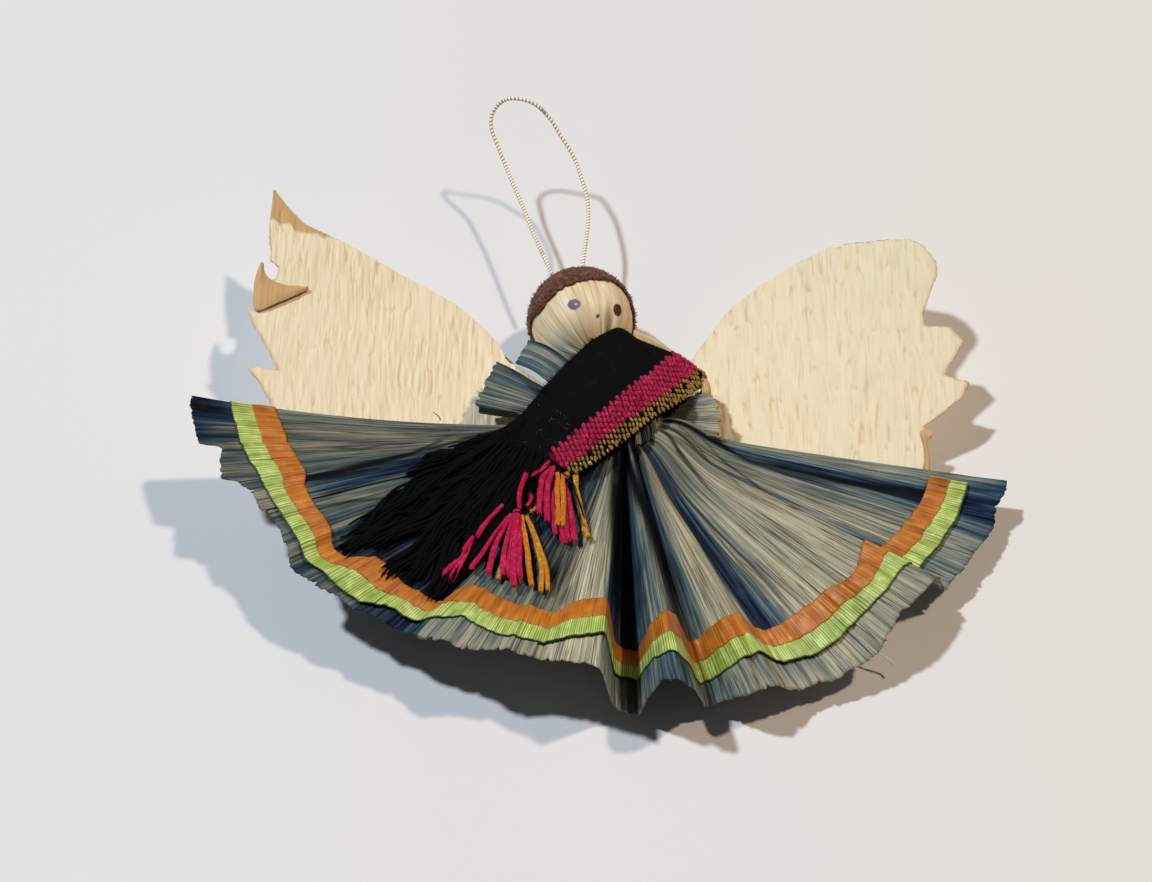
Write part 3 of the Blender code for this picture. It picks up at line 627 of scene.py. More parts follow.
# %% Shape of the folds
WAIST_HEIGHT = 0.0120
WAIST_RADIUS = 0.0062
GAP = 0.0003
SKIRT_REACH = 0.0840
HEM_LIFT = 0.0240
HEM = np.array((
    (-178.0, 1.00, 1.00, 0.81, 0.91),
    (-170.5, 1.00, 0.97, 0.785, 0.89),
    (-168.8, 0.945, 0.95, 0.82, 0.935),
    (-164.0, 0.95, 0.93, 0.80, 0.91),
    (-162.5, 0.915, 0.92, 0.83, 0.945),
    (-156.5, 0.89, 0.91, 0.87, 0.96),
    (-150.0, 0.875, 0.84, 0.87, 0.96),
    (-147.8, 0.885, 0.76, 0.875, 0.955),
    (-144.0, 0.87, 0.75, 0.885, 0.96),
    (-141.6, 0.86, 0.76, 0.828, 0.965),
    (-138.8, 0.845, 0.73, 0.832, 0.975),
    (-135.6, 0.835, 0.71, 0.85, 0.975),
    (-133.6, 0.825, 0.70, 0.858, 0.945),
    (-129.0, 0.815, 0.70, 0.862, 0.95),
    (-126.2, 0.81, 0.68, 0.86, 0.94),
    (-125.0, 0.805, 0.67, 0.76, 0.90),
    (-120.7, 0.79, 0.75, 0.78, 0.90),
    (-115.3, 0.80, 0.83, 0.79, 0.91),
    (-110.0, 0.77, 0.83, 0.82, 0.94),
    (-105.7, 0.76, 0.79, 0.82, 0.94),
    (-99.6, 0.775, 0.88, 0.76, 0.90),
    (-94.2, 0.795, 0.96, 0.74, 0.87),
    (-92.0, 0.755, 0.30, 0.80, 0.90),
    (-88.0, 0.76, 0.14, 0.79, 0.88),
    (-86.6, 0.78, 0.50, 0.81, 0.91),
    (-85.0, 0.81, 0.78, 0.78, 0.90),
    (-82.7, 0.83, 0.91, 0.75, 0.89),
    (-80.0, 0.82, 0.75, 0.74, 0.91),
    (-77.5, 0.775, 0.33, 0.74, 0.92),
    (-76.2, 0.77, 0.18, 0.78, 0.91),
    (-74.5, 0.775, 0.22, 0.78, 0.91),
    (-71.8, 0.82, 0.46, 0.75, 0.89),
    (-69.5, 0.835, 0.58, 0.74, 0.88),
    (-66.5, 0.82, 0.50, 0.74, 0.88),
    (-61.0, 0.815, 0.29, 0.80, 0.91),
    (-54.5, 0.835, 0.33, 0.78, 0.91),
    (-48.0, 0.855, 0.42, 0.77, 0.89),
    (-43.0, 0.845, 0.62, 0.82, 0.92),
    (-37.0, 0.84, 0.59, 0.79, 0.91),
    (-33.0, 0.85, 0.52, 0.765, 0.90),
    (-31.0, 0.855, 0.30, 0.78, 0.90),
    (-24.2, 0.875, 0.28, 0.79, 0.90),
    (-15.0, 0.895, 0.29, 0.80, 0.90),
    (-11.0, 0.905, 0.37, 0.80, 0.90),
))
LEAF_EDGES = (-178.0, -156.5, -126.2, -105.7, -88.0, -69.5, -48.0, -31.0, -11.0)


def slopes_of(table):
    """The slope at each row of the table that keeps every hump and hollow where the table has it."""
    steps = np.diff(table[:, 0])[:, None]
    rises = np.diff(table[:, 1:], axis=0) / steps
    slopes = np.zeros_like(table[:, 1:])
    first = 2 * steps[1:] + steps[:-1]
    second = steps[1:] + 2 * steps[:-1]
    same_way = rises[:-1] * rises[1:] > 0
    low, high = np.where(same_way, rises[:-1], 1.0), np.where(same_way, rises[1:], 1.0)
    slopes[1:-1] = np.where(same_way, (first + second) / (first / low + second / high), 0.0)
    slopes[0], slopes[-1] = rises[0], rises[-1]
    return slopes


HEM_SLOPES = slopes_of(HEM)


def rows_below(table, at):
    """The row of a table that starts the stretch each place lies in."""
    return np.clip(np.searchsorted(table, at, side="right") - 1, 0, len(table) - 2)


def fold_row(degrees):
    """The hem's reach and lift and the places of both ribbons, in these directions."""
    degrees = np.asarray(degrees, float)
    k = rows_below(HEM[:, 0], degrees)
    wide = (HEM[k + 1, 0] - HEM[k, 0])[..., None]
    t = clamp((degrees - HEM[k, 0])[..., None] / wide)
    near = HEM[k, 1:] * (2 * t**3 - 3 * t**2 + 1) + HEM_SLOPES[k] * wide * (t**3 - 2 * t**2 + t)
    return near + HEM[k + 1, 1:] * (3 * t**2 - 2 * t**3) + HEM_SLOPES[k + 1] * wide * (t**3 - t**2)


def leaf_relief(degrees, share):
    """Small pleats and raised fibres, which fade towards the waist."""
    pleats = wobble(3, degrees * 0.55, share * 1.5) * 0.42 + wobble(4, degrees * 1.3, share * 2.2) * 0.28
    fibres = ridges(5, degrees * 2.6, share * 3.0) * 0.10 + wobble(6, degrees * 5.5, share * 5.0) * 0.05
    edge = wobble(7, degrees * 0.8, share * 9.0) * 0.30 * clamp((share - 0.8) * 5)
    return (pleats + fibres + edge) * share * MM


# The leaves rise over the tied waist before they fall to the hem
HUMP_DEGREES = (-178.0, -150.0, -100.0, -60.0, -35.0, -11.0)
HUMP_HEIGHTS = (0.0022, 0.0012, 0.0016, 0.0028, 0.0040, 0.0046)
HUMP_REACH = 0.0105
HUMP_WIDTH = 0.0070
# The outermost folds on the left hang through between waist and hem
SAG_DEGREES = (-178.0, -170.0, -160.0)
SAG_DEPTHS = (0.0034, 0.0022, 0.0)


def fan_point(reach, degrees, height):
    turn = np.radians(degrees)
    return np.stack([reach * np.cos(turn), reach * np.sin(turn), height], -1)


def skirt_point(degrees, share, lift=0.0):
    """Points of the skirt's upper side in these directions, these shares of the way out."""
    degrees, share = np.broadcast_arrays(np.asarray(degrees, float), np.asarray(share, float))
    row = fold_row(degrees)
    reach = SKIRT_REACH * row[..., 0] * share
    height = WAIST_HEIGHT + (HEM_LIFT * row[..., 1] - WAIST_HEIGHT) * share
    hump = np.interp(degrees, HUMP_DEGREES, HUMP_HEIGHTS) * np.exp(-(((reach - HUMP_REACH) / HUMP_WIDTH) ** 2))
    sag = np.interp(degrees, SAG_DEGREES, SAG_DEPTHS) * np.sin(clamp(share) * math.pi)
    return fan_point(reach, degrees, height + leaf_relief(degrees, share) + hump - sag + lift)


def skirt_top(x, y):
    """The skirt's height under a place, to lay yarns on it."""
    degrees = np.degrees(np.arctan2(y, x))
    degrees = np.clip(np.where(degrees > 0, degrees - 360, degrees), HEM[0, 0], HEM[-1, 0])
    share = np.hypot(x, y) / (SKIRT_REACH * fold_row(degrees)[..., 0])
    return skirt_point(degrees, share)[..., 2]


print("hem reach to the front, in metres:", round(float(SKIRT_REACH * fold_row(-90.0)[0]), 4))

# %% [markdown]
# Dye, dirt and painted shade
#
# The dye table says how blue each direction is, near the waist, half way,
# above the ribbons and at the hem; its darkest values are painted shade in the
# deep pleats. Two more tables put olive dirt with painted shade in the deep
# pleats, and brown smudges with painted shade by the tassels and the fringe.
# Between the leaves the fan has deep creases that narrow to a line, and each
# gets painted shade. Each is a row of places along it, and finer ones are
# scattered between them, so the folds look dark wherever they face.

# %% Dye, dirt and painted shade by direction
# Each row: direction, then the amount near the waist, half way, above the ribbons and at the hem. Pale ridge tops are
# partly painted light, and values near 1 are painted shade in the deep pleats
DYE_AND_SHADE = np.array((
    (-178.0, 0.55, 0.46, 0.44, 0.86),
    (-172.0, 0.50, 0.38, 0.34, 0.60),
    (-167.0, 0.58, 0.40, 0.35, 0.46),
    (-164.0, 0.66, 0.48, 0.42, 0.42),
    (-161.5, 0.84, 0.84, 0.86, 0.50),
    (-159.3, 0.80, 0.82, 0.82, 0.44),
    (-156.8, 0.70, 0.60, 0.54, 0.46),
    (-151.0, 0.84, 0.62, 0.56, 0.48),
    (-148.0, 0.92, 0.80, 0.62, 0.50),
    (-140.0, 0.94, 0.90, 0.76, 0.46),
    (-132.0, 0.94, 0.92, 0.84, 0.70),
    (-127.0, 0.92, 0.88, 0.80, 0.80),
    (-125.6, 0.80, 0.70, 0.50, 0.34),
    (-120.0, 0.82, 0.62, 0.42, 0.32),
    (-113.0, 0.78, 0.60, 0.44, 0.30),
    (-107.0, 0.66, 0.48, 0.40, 0.36),
    (-104.0, 0.46, 0.28, 0.22, 0.22),
    (-96.0, 0.40, 0.20, 0.18, 0.24),
    (-94.2, 0.70, 0.46, 0.30, 0.30),
    (-92.8, 1.00, 0.92, 0.56, 0.44),
    (-89.0, 1.00, 0.94, 0.58, 0.42),
    (-87.4, 0.90, 0.72, 0.56, 0.44),
    (-85.0, 0.52, 0.48, 0.46, 0.50),
    (-81.5, 0.44, 0.40, 0.44, 0.50),
    (-79.5, 0.70, 0.62, 0.50, 0.50),
    (-78.0, 0.98, 0.92, 0.60, 0.50),
    (-75.5, 0.92, 0.84, 0.58, 0.48),
    (-73.5, 0.60, 0.56, 0.50, 0.40),
    (-71.0, 0.16, 0.14, 0.22, 0.26),
    (-67.5, 0.12, 0.16, 0.26, 0.26),
    (-63.6, 0.30, 0.20, 0.28, 0.30),
    (-61.9, 0.84, 0.80, 0.78, 0.32),
    (-58.6, 0.66, 0.78, 0.78, 0.30),
    (-56.4, 0.40, 0.42, 0.52, 0.32),
    (-54.0, 0.50, 0.34, 0.34, 0.32),
    (-49.0, 0.40, 0.22, 0.20, 0.28),
    (-40.0, 0.30, 0.18, 0.18, 0.28),
    (-34.0, 0.26, 0.20, 0.24, 0.32),
    (-30.8, 0.34, 0.40, 0.54, 0.40),
    (-28.6, 0.40, 0.50, 0.74, 0.44),
    (-27.0, 0.30, 0.30, 0.36, 0.48),
    (-22.0, 0.26, 0.40, 0.34, 0.50),
    (-18.0, 0.34, 0.60, 0.44, 0.60),
    (-15.8, 0.46, 0.60, 0.64, 0.68),
    (-13.8, 0.60, 0.80, 0.84, 0.72),
    (-12.0, 0.50, 0.62, 0.66, 0.76),
    (-11.0, 0.40, 0.46, 0.48, 0.74),
))
DYE_AND_SHADE_SHARES = np.array((0.12, 0.50, 0.80, 0.98))
# Painted shade and dirt in the deep pleats: direction, half width, inner strength, outer strength
PLEAT_SHADE_AND_DIRT = (
    (-170.0, 9.0, 0.44, 0.40),
    (-150.0, 13.0, 0.26, 0.26),
    (-152.0, 2.5, 0.45, 0.10),
    (-138.0, 9.0, 0.85, 0.55),
    (-118.0, 6.0, 0.80, 0.36),
    (-109.0, 3.0, 0.55, 0.30),
    (-35.0, 3.0, 0.50, 0.0),
    (-22.0, 3.0, 0.45, 0.0),
)
# Smudges, partly stains and partly painted shade by the tassels and the fringe: direction, share of the way out, half
# sizes of both, strength
STAINS_AND_TASSEL_SHADE = (
    (-112.0, 0.60, 6.0, 0.13, 0.85),
    (-107.5, 0.63, 3.2, 0.12, 1.10),
    (-104.0, 0.74, 2.4, 0.07, 0.60),
    (-119.0, 0.82, 4.0, 0.05, 0.45),
    (-136.0, 0.80, 9.0, 0.09, 0.95),
    (-117.0, 0.50, 6.0, 0.15, 0.80),
    (-29.0, 0.30, 6.0, 0.12, 0.40),
    (-60.0, 0.22, 16.0, 0.10, 0.45),
)
# Creases of painted shade: share of the way out, direction, half width in mm, how dark
CREASE_SHADES = [
    (
        (0.10, -99.5, 0.5, 1.0), (0.20, -96.9, 0.9, 1.0), (0.38, -93.3, 2.0, 1.0),
        (0.59, -91.0, 2.3, 0.97), (0.80, -89.9, 2.5, 0.62), (0.96, -89.6, 2.3, 0.40),
    ),
    (
        (0.10, -88.0, 0.4, 1.0), (0.20, -84.9, 0.8, 1.0), (0.38, -79.2, 1.9, 1.0),
        (0.55, -78.2, 2.6, 0.95), (0.73, -78.2, 2.6, 0.62), (0.96, -78.0, 2.3, 0.35),
    ),
    (
        (0.10, -64.5, 0.3, 0.9), (0.32, -62.9, 0.34, 0.95), (0.48, -62.3, 0.36, 0.9),
        (0.65, -61.9, 0.36, 0.8), (0.84, -61.0, 0.3, 0.6),
    ),
    ((0.30, -61.2, 0.2, 0.9), (0.46, -60.6, 0.8, 0.85), (0.56, -60.2, 0.7, 0.55), (0.66, -60.0, 0.4, 0.0)),
    ((0.12, -56.5, 0.2, 0.8), (0.36, -55.0, 0.28, 0.85), (0.57, -53.8, 0.3, 0.8), (0.78, -53.9, 0.24, 0.5)),
    ((0.38, -37.0, 0.2, 0.2), (0.56, -33.1, 0.32, 0.9), (0.70, -29.4, 0.55, 0.95), (0.83, -28.7, 0.65, 0.9)),
    ((0.20, -14.0, 0.2, 0.6), (0.28, -22.2, 0.28, 0.85), (0.41, -28.0, 0.3, 0.8), (0.50, -28.6, 0.2, 0.2)),
    ((0.15, -16.0, 0.2, 0.6), (0.26, -28.2, 0.3, 0.8), (0.39, -36.1, 0.3, 0.6), (0.52, -38.0, 0.2, 0.0)),
    ((0.10, -30.0, 0.6, 0.95), (0.20, -42.0, 0.55, 0.9), (0.32, -45.5, 0.3, 0.6), (0.45, -46.5, 0.2, 0.0)),
    ((0.10, -20.0, 0.4, 0.9), (0.21, -26.0, 0.4, 0.85), (0.33, -33.0, 0.25, 0.4), (0.42, -35.0, 0.2, 0.0)),
    ((0.10, -12.4, 0.4, 1.0), (0.26, -13.6, 0.45, 1.0), (0.35, -16.7, 0.35, 0.9), (0.44, -17.6, 0.2, 0.3)),
    ((0.10, -70.0, 0.3, 0.8), (0.25, -73.0, 0.3, 0.6), (0.40, -73.5, 0.2, 0.3)),
    (
        (0.33, -15.8, 0.2, 0.7), (0.42, -15.6, 0.5, 1.0), (0.57, -15.2, 0.75, 1.0),
        (0.69, -14.6, 0.95, 1.0), (0.82, -13.8, 1.3, 0.75),
    ),
    (
        (0.36, -175.0, 0.3, 0.5), (0.47, -168.2, 0.5, 0.85), (0.53, -164.6, 0.7, 1.0),
        (0.62, -162.9, 1.0, 1.0), (0.74, -161.7, 1.1, 1.0), (0.86, -160.9, 0.9, 1.0),
    ),
    ((0.16, -174.6, 0.5, 0.9), (0.29, -173.6, 0.5, 0.95), (0.40, -168.8, 0.6, 0.9), (0.50, -165.3, 0.5, 0.9)),
    ((0.54, -171.5, 0.2, 0.2), (0.67, -170.9, 0.35, 0.75), (0.80, -171.7, 0.25, 0.6)),
    ((0.50, -170.6, 0.2, 0.2), (0.65, -167.6, 0.4, 0.8), (0.80, -169.2, 0.25, 0.5)),
    ((0.56, -150.5, 0.3, 0.4), (0.65, -151.9, 0.5, 0.8), (0.77, -154.2, 0.45, 0.85), (0.88, -155.2, 0.3, 0.6)),
    ((0.60, -166.0, 0.2, 0.1), (0.72, -165.4, 0.3, 0.6), (0.83, -165.0, 0.2, 0.4)),
]
FINE_CREASE_SHADES = 90

draw = np.random.default_rng(27)
for _ in range(FINE_CREASE_SHADES):
    start, length, middle = draw.uniform(0.12, 0.60), draw.uniform(0.16, 0.44), draw.uniform(-177.0, -12.0)
    drift, half_width, dark = draw.normal() * 0.8, draw.uniform(0.13, 0.22), draw.uniform(0.35, 0.8)
    stretch = ((0, 0, 0.0), (0.2, 0.2, dark), (0.7, 0.8, dark), (1, 1, 0.0))
    CREASE_SHADES.append([(start + length * a, middle + drift * b, half_width, shade) for a, b, shade in stretch])


def dye_at(degrees, share):
    """How much dye the skirt took here, with painted light and shade: values near 1 are blue-black shade in the deep
    pleats. The borders between bands wander along the leaf.
    """
    wander = wobble(21, share * 3.0, degrees * 0.02) * 0.9 + wobble(22, degrees * 0.9, share * 4.0) * 0.6
    at = degrees + wander * (0.4 + share)
    k = rows_below(DYE_AND_SHADE[:, 0], at)
    t = clamp((at - DYE_AND_SHADE[k, 0]) / (DYE_AND_SHADE[k + 1, 0] - DYE_AND_SHADE[k, 0]))[..., None]
    row = DYE_AND_SHADE[k, 1:] * (1 - t) + DYE_AND_SHADE[k + 1, 1:] * t
    j = rows_below(DYE_AND_SHADE_SHARES, share)
    s = clamp((share - DYE_AND_SHADE_SHARES[j]) / (DYE_AND_SHADE_SHARES[j + 1] - DYE_AND_SHADE_SHARES[j]))
    inner, outer = (np.take_along_axis(row, column[..., None], -1)[..., 0] for column in (j, j + 1))
    return inner * (1 - s) + outer * s


def crease_at(degrees, share):
    """How much painted shade of a crease each place gets, from 0 to 1."""
    shade = np.zeros(np.shape(degrees))
    for places in CREASE_SHADES:
        shares, directions, half_widths, darks = np.array(places).T
        off = np.radians(degrees - np.interp(share, shares, directions)) * share * SKIRT_REACH * 0.85 / MM
        dark = np.interp(share, shares, darks, left=0.0, right=0.0)
        shade = np.maximum(shade, dark * np.exp(-((off / np.interp(share, shares, half_widths)) ** 4)))
    return shade


def grime_at(degrees, share):
    """How dark the husk is painted here, for dirt and for shade in the pleats and creases, with streaks along the
    fibres.
    """
    at = degrees + wobble(23, share * 4.0, degrees * 0.1) * 0.5 * (0.3 + share)
    dirt_and_shade = np.zeros_like(at)
    for middle_degrees, half_width, inner, outer in PLEAT_SHADE_AND_DIRT:
        strength = inner + (outer - inner) * clamp((share - 0.15) / 0.6)
        dirt_and_shade = np.maximum(dirt_and_shade, strength * np.exp(-(((at - middle_degrees) / half_width) ** 4)))
    patchy = clamp(0.8 + 0.6 * wobble(26, degrees * 1.5, share * 7.0))
    for middle_degrees, middle_share, half_width, half_share, strength in STAINS_AND_TASSEL_SHADE:
        distance = ((at - middle_degrees) / half_width) ** 2 + ((share - middle_share) / half_share) ** 2
        dirt_and_shade = np.maximum(dirt_and_shade, strength * patchy * np.exp(-(distance**1.5)))
    outside = np.clip((0.95 - share) / 0.08, np.where(at < -128, 1.0, 0.25), 1)
    streaks = 1 + 0.35 * wobble(24, degrees * 4.0, share * 2.5)
    # Painted shade in the valleys between fibre ridges and close to the waist
    valley_shade = clamp(-ridges(5, degrees * 2.6, share * 3.0)) * 0.35 * clamp(share * 2)
    waist_shade = clamp(1 - (share * 84 - 8) / 9) * 0.30
    dirt_and_shade = dirt_and_shade * outside * streaks + valley_shade + waist_shade * (0.6 + wobble(25, degrees * 1.6))
    return clamp(np.maximum(dirt_and_shade, crease_at(degrees, share)))


print("creases:", len(CREASE_SHADES))

# %% [markdown]
# The skirt's leaves
#
# Eight leaves cover the fan. Every second one lies a little lower and runs on
# under its neighbours, so the edges of the upper ones show as thin dark
# lines, and their hems are torn by hand. Three shorter leaves lie flat under
# the skirt. They carry the doll and only show from behind or in the deepest
# folds, so they are painted the darkest blue, partly as painted shade.

# %% Front leaves
LEAF_THICKNESS = 0.00026
LEAF_DROP = 0.0005
TUCK = 2.4
LEAF_ROWS = 84
DEGREE_STEP = 0.16
HEM_SHARE = 0.992
FIBRES_PER_DEGREE = 1.3


def torn_hem(degrees):
    """How far a leaf falls short of the hem line, as a share: fine fibres and a few deep tears."""
    small = wobble(31, degrees * 2.2) * 0.0022 + wobble(32, degrees * 7.0) * 0.0016
    large = wobble(33, degrees * 0.30) * 0.008
    return small + large - clamp(wobble(34, degrees * 1.3) - 0.70) * 0.05


for number, (low, high) in enumerate(zip(LEAF_EDGES, LEAF_EDGES[1:]), 1):
    tucked = number % 2 == 0
    if tucked:
        low, high = low - TUCK, high + TUCK
    out = steps_along(LEAF_ROWS)
    degrees = low + (high - low) * np.linspace(0, 1, int((high - low) / DEGREE_STEP) + 1) + 0 * out
    first = (WAIST_RADIUS + GAP) / (SKIRT_REACH * fold_row(degrees[0])[:, 0])
    share = first + (HEM_SHARE + torn_hem(degrees[0] + number * 40) - first) * out
    sheet_piece(
        f"husk_leaf_{number}",
        skirt_point(degrees, share, -LEAF_DROP if tucked else 0.0),
        LEAF_THICKNESS,
        skirt_husk,
        "husk_blue",
        f"skirt_leaf_{number}",
        fibres=together(degrees * FIBRES_PER_DEGREE, share * 84, number * 7.3),
        dye=dye_at(degrees, share),
        grime=grime_at(degrees, share),
    )
print("columns of the last leaf:", degrees.shape[1])

# %% Back leaves
UNDER_EDGES = (-168.0, -118.0, -66.0, -16.0)
UNDER_REACH = 0.0500
UNDER_FLAT = 0.0120
UNDER_FOLD = 0.0012
UNDER_HEIGHT = 0.0005
FOLDS_OF_LEAF = 5

for number, (low, high) in enumerate(zip(UNDER_EDGES, UNDER_EDGES[1:]), 1):
    seam = math.degrees(GAP / WAIST_RADIUS)
    across, out = np.linspace(0, 1, 150), steps_along(40)
    degrees = low + seam + (high - low - 2 * seam) * across + 0 * out
    torn = 0.985 + wobble(41, degrees[0] * 1.7) * 0.012
    reach = (WAIST_RADIUS + GAP) + (UNDER_REACH * torn - WAIST_RADIUS - GAP) * out
    share = clamp((reach - UNDER_FLAT) / (UNDER_REACH - UNDER_FLAT))
    fold = UNDER_FOLD * (0.5 - 0.5 * np.cos(across * FOLDS_OF_LEAF * math.tau))
    height = UNDER_HEIGHT + fold * share + (ridges(42, degrees * 1.6, reach * 100) + 1) * 0.00005 * share
    sheet_piece(
        f"back_leaf_{number}",
        fan_point(reach, degrees, height),
        0.00035,
        under_husk,
        "husk_under",
        f"under_leaf_{number}",
        fibres=together(degrees * FIBRES_PER_DEGREE, reach * 1000, 90.0 + number),
        dye=clamp(0.70 + 0.2 * wobble(43, degrees * 0.15, reach * 60)),
    )
print("back leaves:", number)

# %% [markdown]
# The two ribbons
#
# An orange satin ribbon and a lime grosgrain one are glued side by side round
# the skirt, over every fold. Grosgrain has fine ribs across its width. At the
# hem's size these are big enough to be real relief, so the lime ribbon's grid
# is fine enough to carry them, and both are gathered a little. Their colour is
# painted lighter on the raised gathers and darker in the hollows, as painted
# light and shade.

# %% Ribbon finishes
def ribbon_finish(name, stops, rib_strength, sheen):
    made, tree, shader = new_finish(name, 0.42, Sheen_Weight=sheen)
    wave = {"Scale": 0.187, "Distortion": 1.2, "Detail": 2.0, "Detail Scale": 2.0}
    wave["Vector"] = stored(tree, "ribbon", "Vector")
    ribs = add(tree, "ShaderNodeTexWave", wave, bands_direction="X").outputs["Fac"]
    mottle = spots_in(tree, 0.0022, softness=0.4)["Mask"]
    # The gather value adds painted light and shade along the gathers
    level = weighed(tree, (ribs, rib_strength), (mottle, 0.45), plus=stored(tree, "gather"))
    colour = ramp(tree, level, stops)
    paint(tree, shader, colour, remap(tree, mottle, 0, 1, 0.5, 0.36))
    bump(tree, shader, ribs, 0.35, 0.0001)
    return made


ORANGE_STOPS = ((0.0, (130, 62, 8)), (0.3, (176, 97, 18)), (0.65, (200, 124, 28)), (1.0, (228, 160, 60)))
LIME_STOPS = ((0.0, (86, 102, 34)), (0.3, (136, 156, 66)), (0.65, (170, 188, 90)), (1.0, (224, 234, 160)))

orange_satin = ribbon_finish("orange_satin", ORANGE_STOPS, 0.18, 0.05)
lime_grosgrain = ribbon_finish("lime_grosgrain", LIME_STOPS, 0.50, 0.0)
selvedge_finish = mottled("dark_selvedge", 0.6, 0.002, (46, 70, 26), (84, 112, 40))

# %% The ribbons
RIBBON_LIFT = 0.00042
RIB_PITCH_DEGREES = 0.42
RIBBON_ROWS = 13
RIBBON_STEP = 0.075
RIBBON_THICKNESS = 0.0002

ribbon_degrees = np.arange(HEM[0, 0] + 0.05, HEM[-1, 0], RIBBON_STEP)


def uneven_edge(degrees):
    """How far an edge of the ribbons strays, which is different for each seed."""
    return lambda seed: wobble(seed, degrees * 0.5) * 0.0025 + wobble(seed + 1, degrees * 2.3) * 0.0006


def ribbon(name, near, far, finish, slot, rib_height, seed, node, above):
    """A strip along the skirt between two places on each fold."""
    across = steps_along(RIBBON_ROWS)
    degrees = ribbon_degrees[None, :] + 0 * across
    share = near + (far - near) * across + uneven_edge(degrees)(seed)
    ribs = np.cos(degrees / RIB_PITCH_DEGREES * math.tau) * rib_height
    puff = np.sin(across * math.pi) * (0.00022 + 0.00012 * wobble(seed + 2, degrees * 1.3))
    gathers = wobble(seed + 3, degrees * 1.1, across * 1.5)
    points = skirt_point(degrees, share, RIBBON_LIFT + above + ribs + puff * 0.5 + gathers * 0.00006)
    # Lighter on the raised gathers and darker in their hollows: painted light and shade
    shade = 0.28 + 0.16 * gathers + 0.12 * wobble(seed + 4, degrees * 3.1, across)
    place = together(degrees * 4.0, across * 3.5, 0.0)
    sheet_piece(name, points, RIBBON_THICKNESS, finish, slot, node, ribbon=place, gather=shade)


def rolled(values, width_degrees):
    """The values along the ribbon, averaged over this many degrees, so it bends and never kinks."""
    reach = int(3 * width_degrees / RIBBON_STEP)
    weights = np.exp(-((np.arange(-reach, reach + 1) * RIBBON_STEP / width_degrees) ** 2))
    padded = np.concatenate([np.full(reach, values[0]), values, np.full(reach, values[-1])])
    return np.convolve(padded, weights / weights.sum(), mode="valid")


seam_row = fold_row(ribbon_degrees)
near_reach, far_reach = rolled(seam_row[:, 0] * seam_row[:, 2], 0.8), rolled(seam_row[:, 0] * seam_row[:, 3], 1.1)
orange_near, lime_far = near_reach / seam_row[:, 0], far_reach / seam_row[:, 0]
middle = orange_near + (lime_far - orange_near) * 0.52
ribbon("orange_band", orange_near, middle + 0.002, orange_satin, "ribbon_orange", 0.00002, 51, "orange_ribbon", 0.0001)
ribbon("lime_band", middle - 0.003, lime_far, lime_grosgrain, "ribbon_lime", 0.00006, 61, "lime_ribbon", 0.0)
edge_share = lime_far + uneven_edge(ribbon_degrees)(61)
edge_route = skirt_point(ribbon_degrees, edge_share + 0.002, 0.00038)[::3]
tube_piece("lime_selvedge", edge_route, 0.00013, 6, selvedge_finish, "ribbon_lime")
print("ribbon columns:", len(ribbon_degrees))

# %% [markdown]
# The body and the bodice
#
# Under the sash the body is a bundle of rolled husk, tied at the waist and at
# the neck, with one wider husk wrapped over the chest. Little of it shows,
# mostly from behind, but it is built in full, from the same rings as the
# solid and with raised fibres along it.

# %% Body rings
BODY_LEAN = math.radians(16.5)
BODY_AXIS = np.array([-math.sin(BODY_LEAN), math.cos(BODY_LEAN), 0.0])
ACROSS = np.array([math.cos(BODY_LEAN), math.sin(BODY_LEAN), 0.0])
BODY_LENGTH = 0.0162
BODY_HALF_WIDTH = 0.0093
BODY_TOP = 0.0205
BODY_CENTRE = 0.0100
FLAT_SIDE = 0.75
BODY_SHARES = np.array((
    (-0.36, 0.20, 0.50, 0.20),
    (-0.31, 0.38, 0.60, 0.00),
    (-0.18, 0.56, 0.66, 0.00),
    (0.00, 0.64, 0.72, 0.00),
    (0.08, 0.67, 0.75, 0.00),
    (0.25, 0.81, 0.87, 0.08),
    (0.42, 0.94, 0.97, 0.08),
    (0.56, 1.00, 1.00, 0.08),
    (0.74, 0.96, 0.96, 0.08),
    (0.90, 0.68, 0.82, 0.20),
    (1.00, 0.38, 0.70, 0.45),
))


def body_ring(place, grown, turn):
    """Points of the body's outline at a share of its length, at these turns round it."""
    half, top, under = (np.interp(place, BODY_SHARES[:, 0], BODY_SHARES[:, k]) for k in (1, 2, 3))
    half = BODY_HALF_WIDTH * half + grown
    top = BODY_TOP * top + grown
    under = BODY_CENTRE * under - grown
    rise = np.sin(turn)
    below = BODY_CENTRE - (BODY_CENTRE - under) * np.minimum(1.0, -rise / FLAT_SIDE)
    height = np.where(rise >= 0, BODY_CENTRE + (top - BODY_CENTRE) * rise, below)
    return BODY_AXIS * (BODY_LENGTH * place) + ACROSS * (half * np.cos(turn))[..., None] + UP * height[..., None]


BODY_TURNS = 180
turn = turns_round(BODY_TURNS)
places = np.linspace(BODY_SHARES[0, 0], BODY_SHARES[-1, 0], 46)
rings = []
for place in places:
    tied = 0.0010 * math.exp(-(((place - 0.04) / 0.05) ** 2))
    relief = 0.00010 * ridges(71, turn * 9.0, place * 1.4) * (np.sin(turn) > -0.6)
    rings.append(body_ring(place, relief - 0.0001 - tied, turn))
core_points = np.array(rings)
new_mesh(
    "husk_bundle",
    core_points,
    capped_faces(len(places), BODY_TURNS),
    core_husk,
    "husk_pale",
    "body_core",
    fibres=together(turn * 9.0, places[:, None] * 16, 3.0),
)

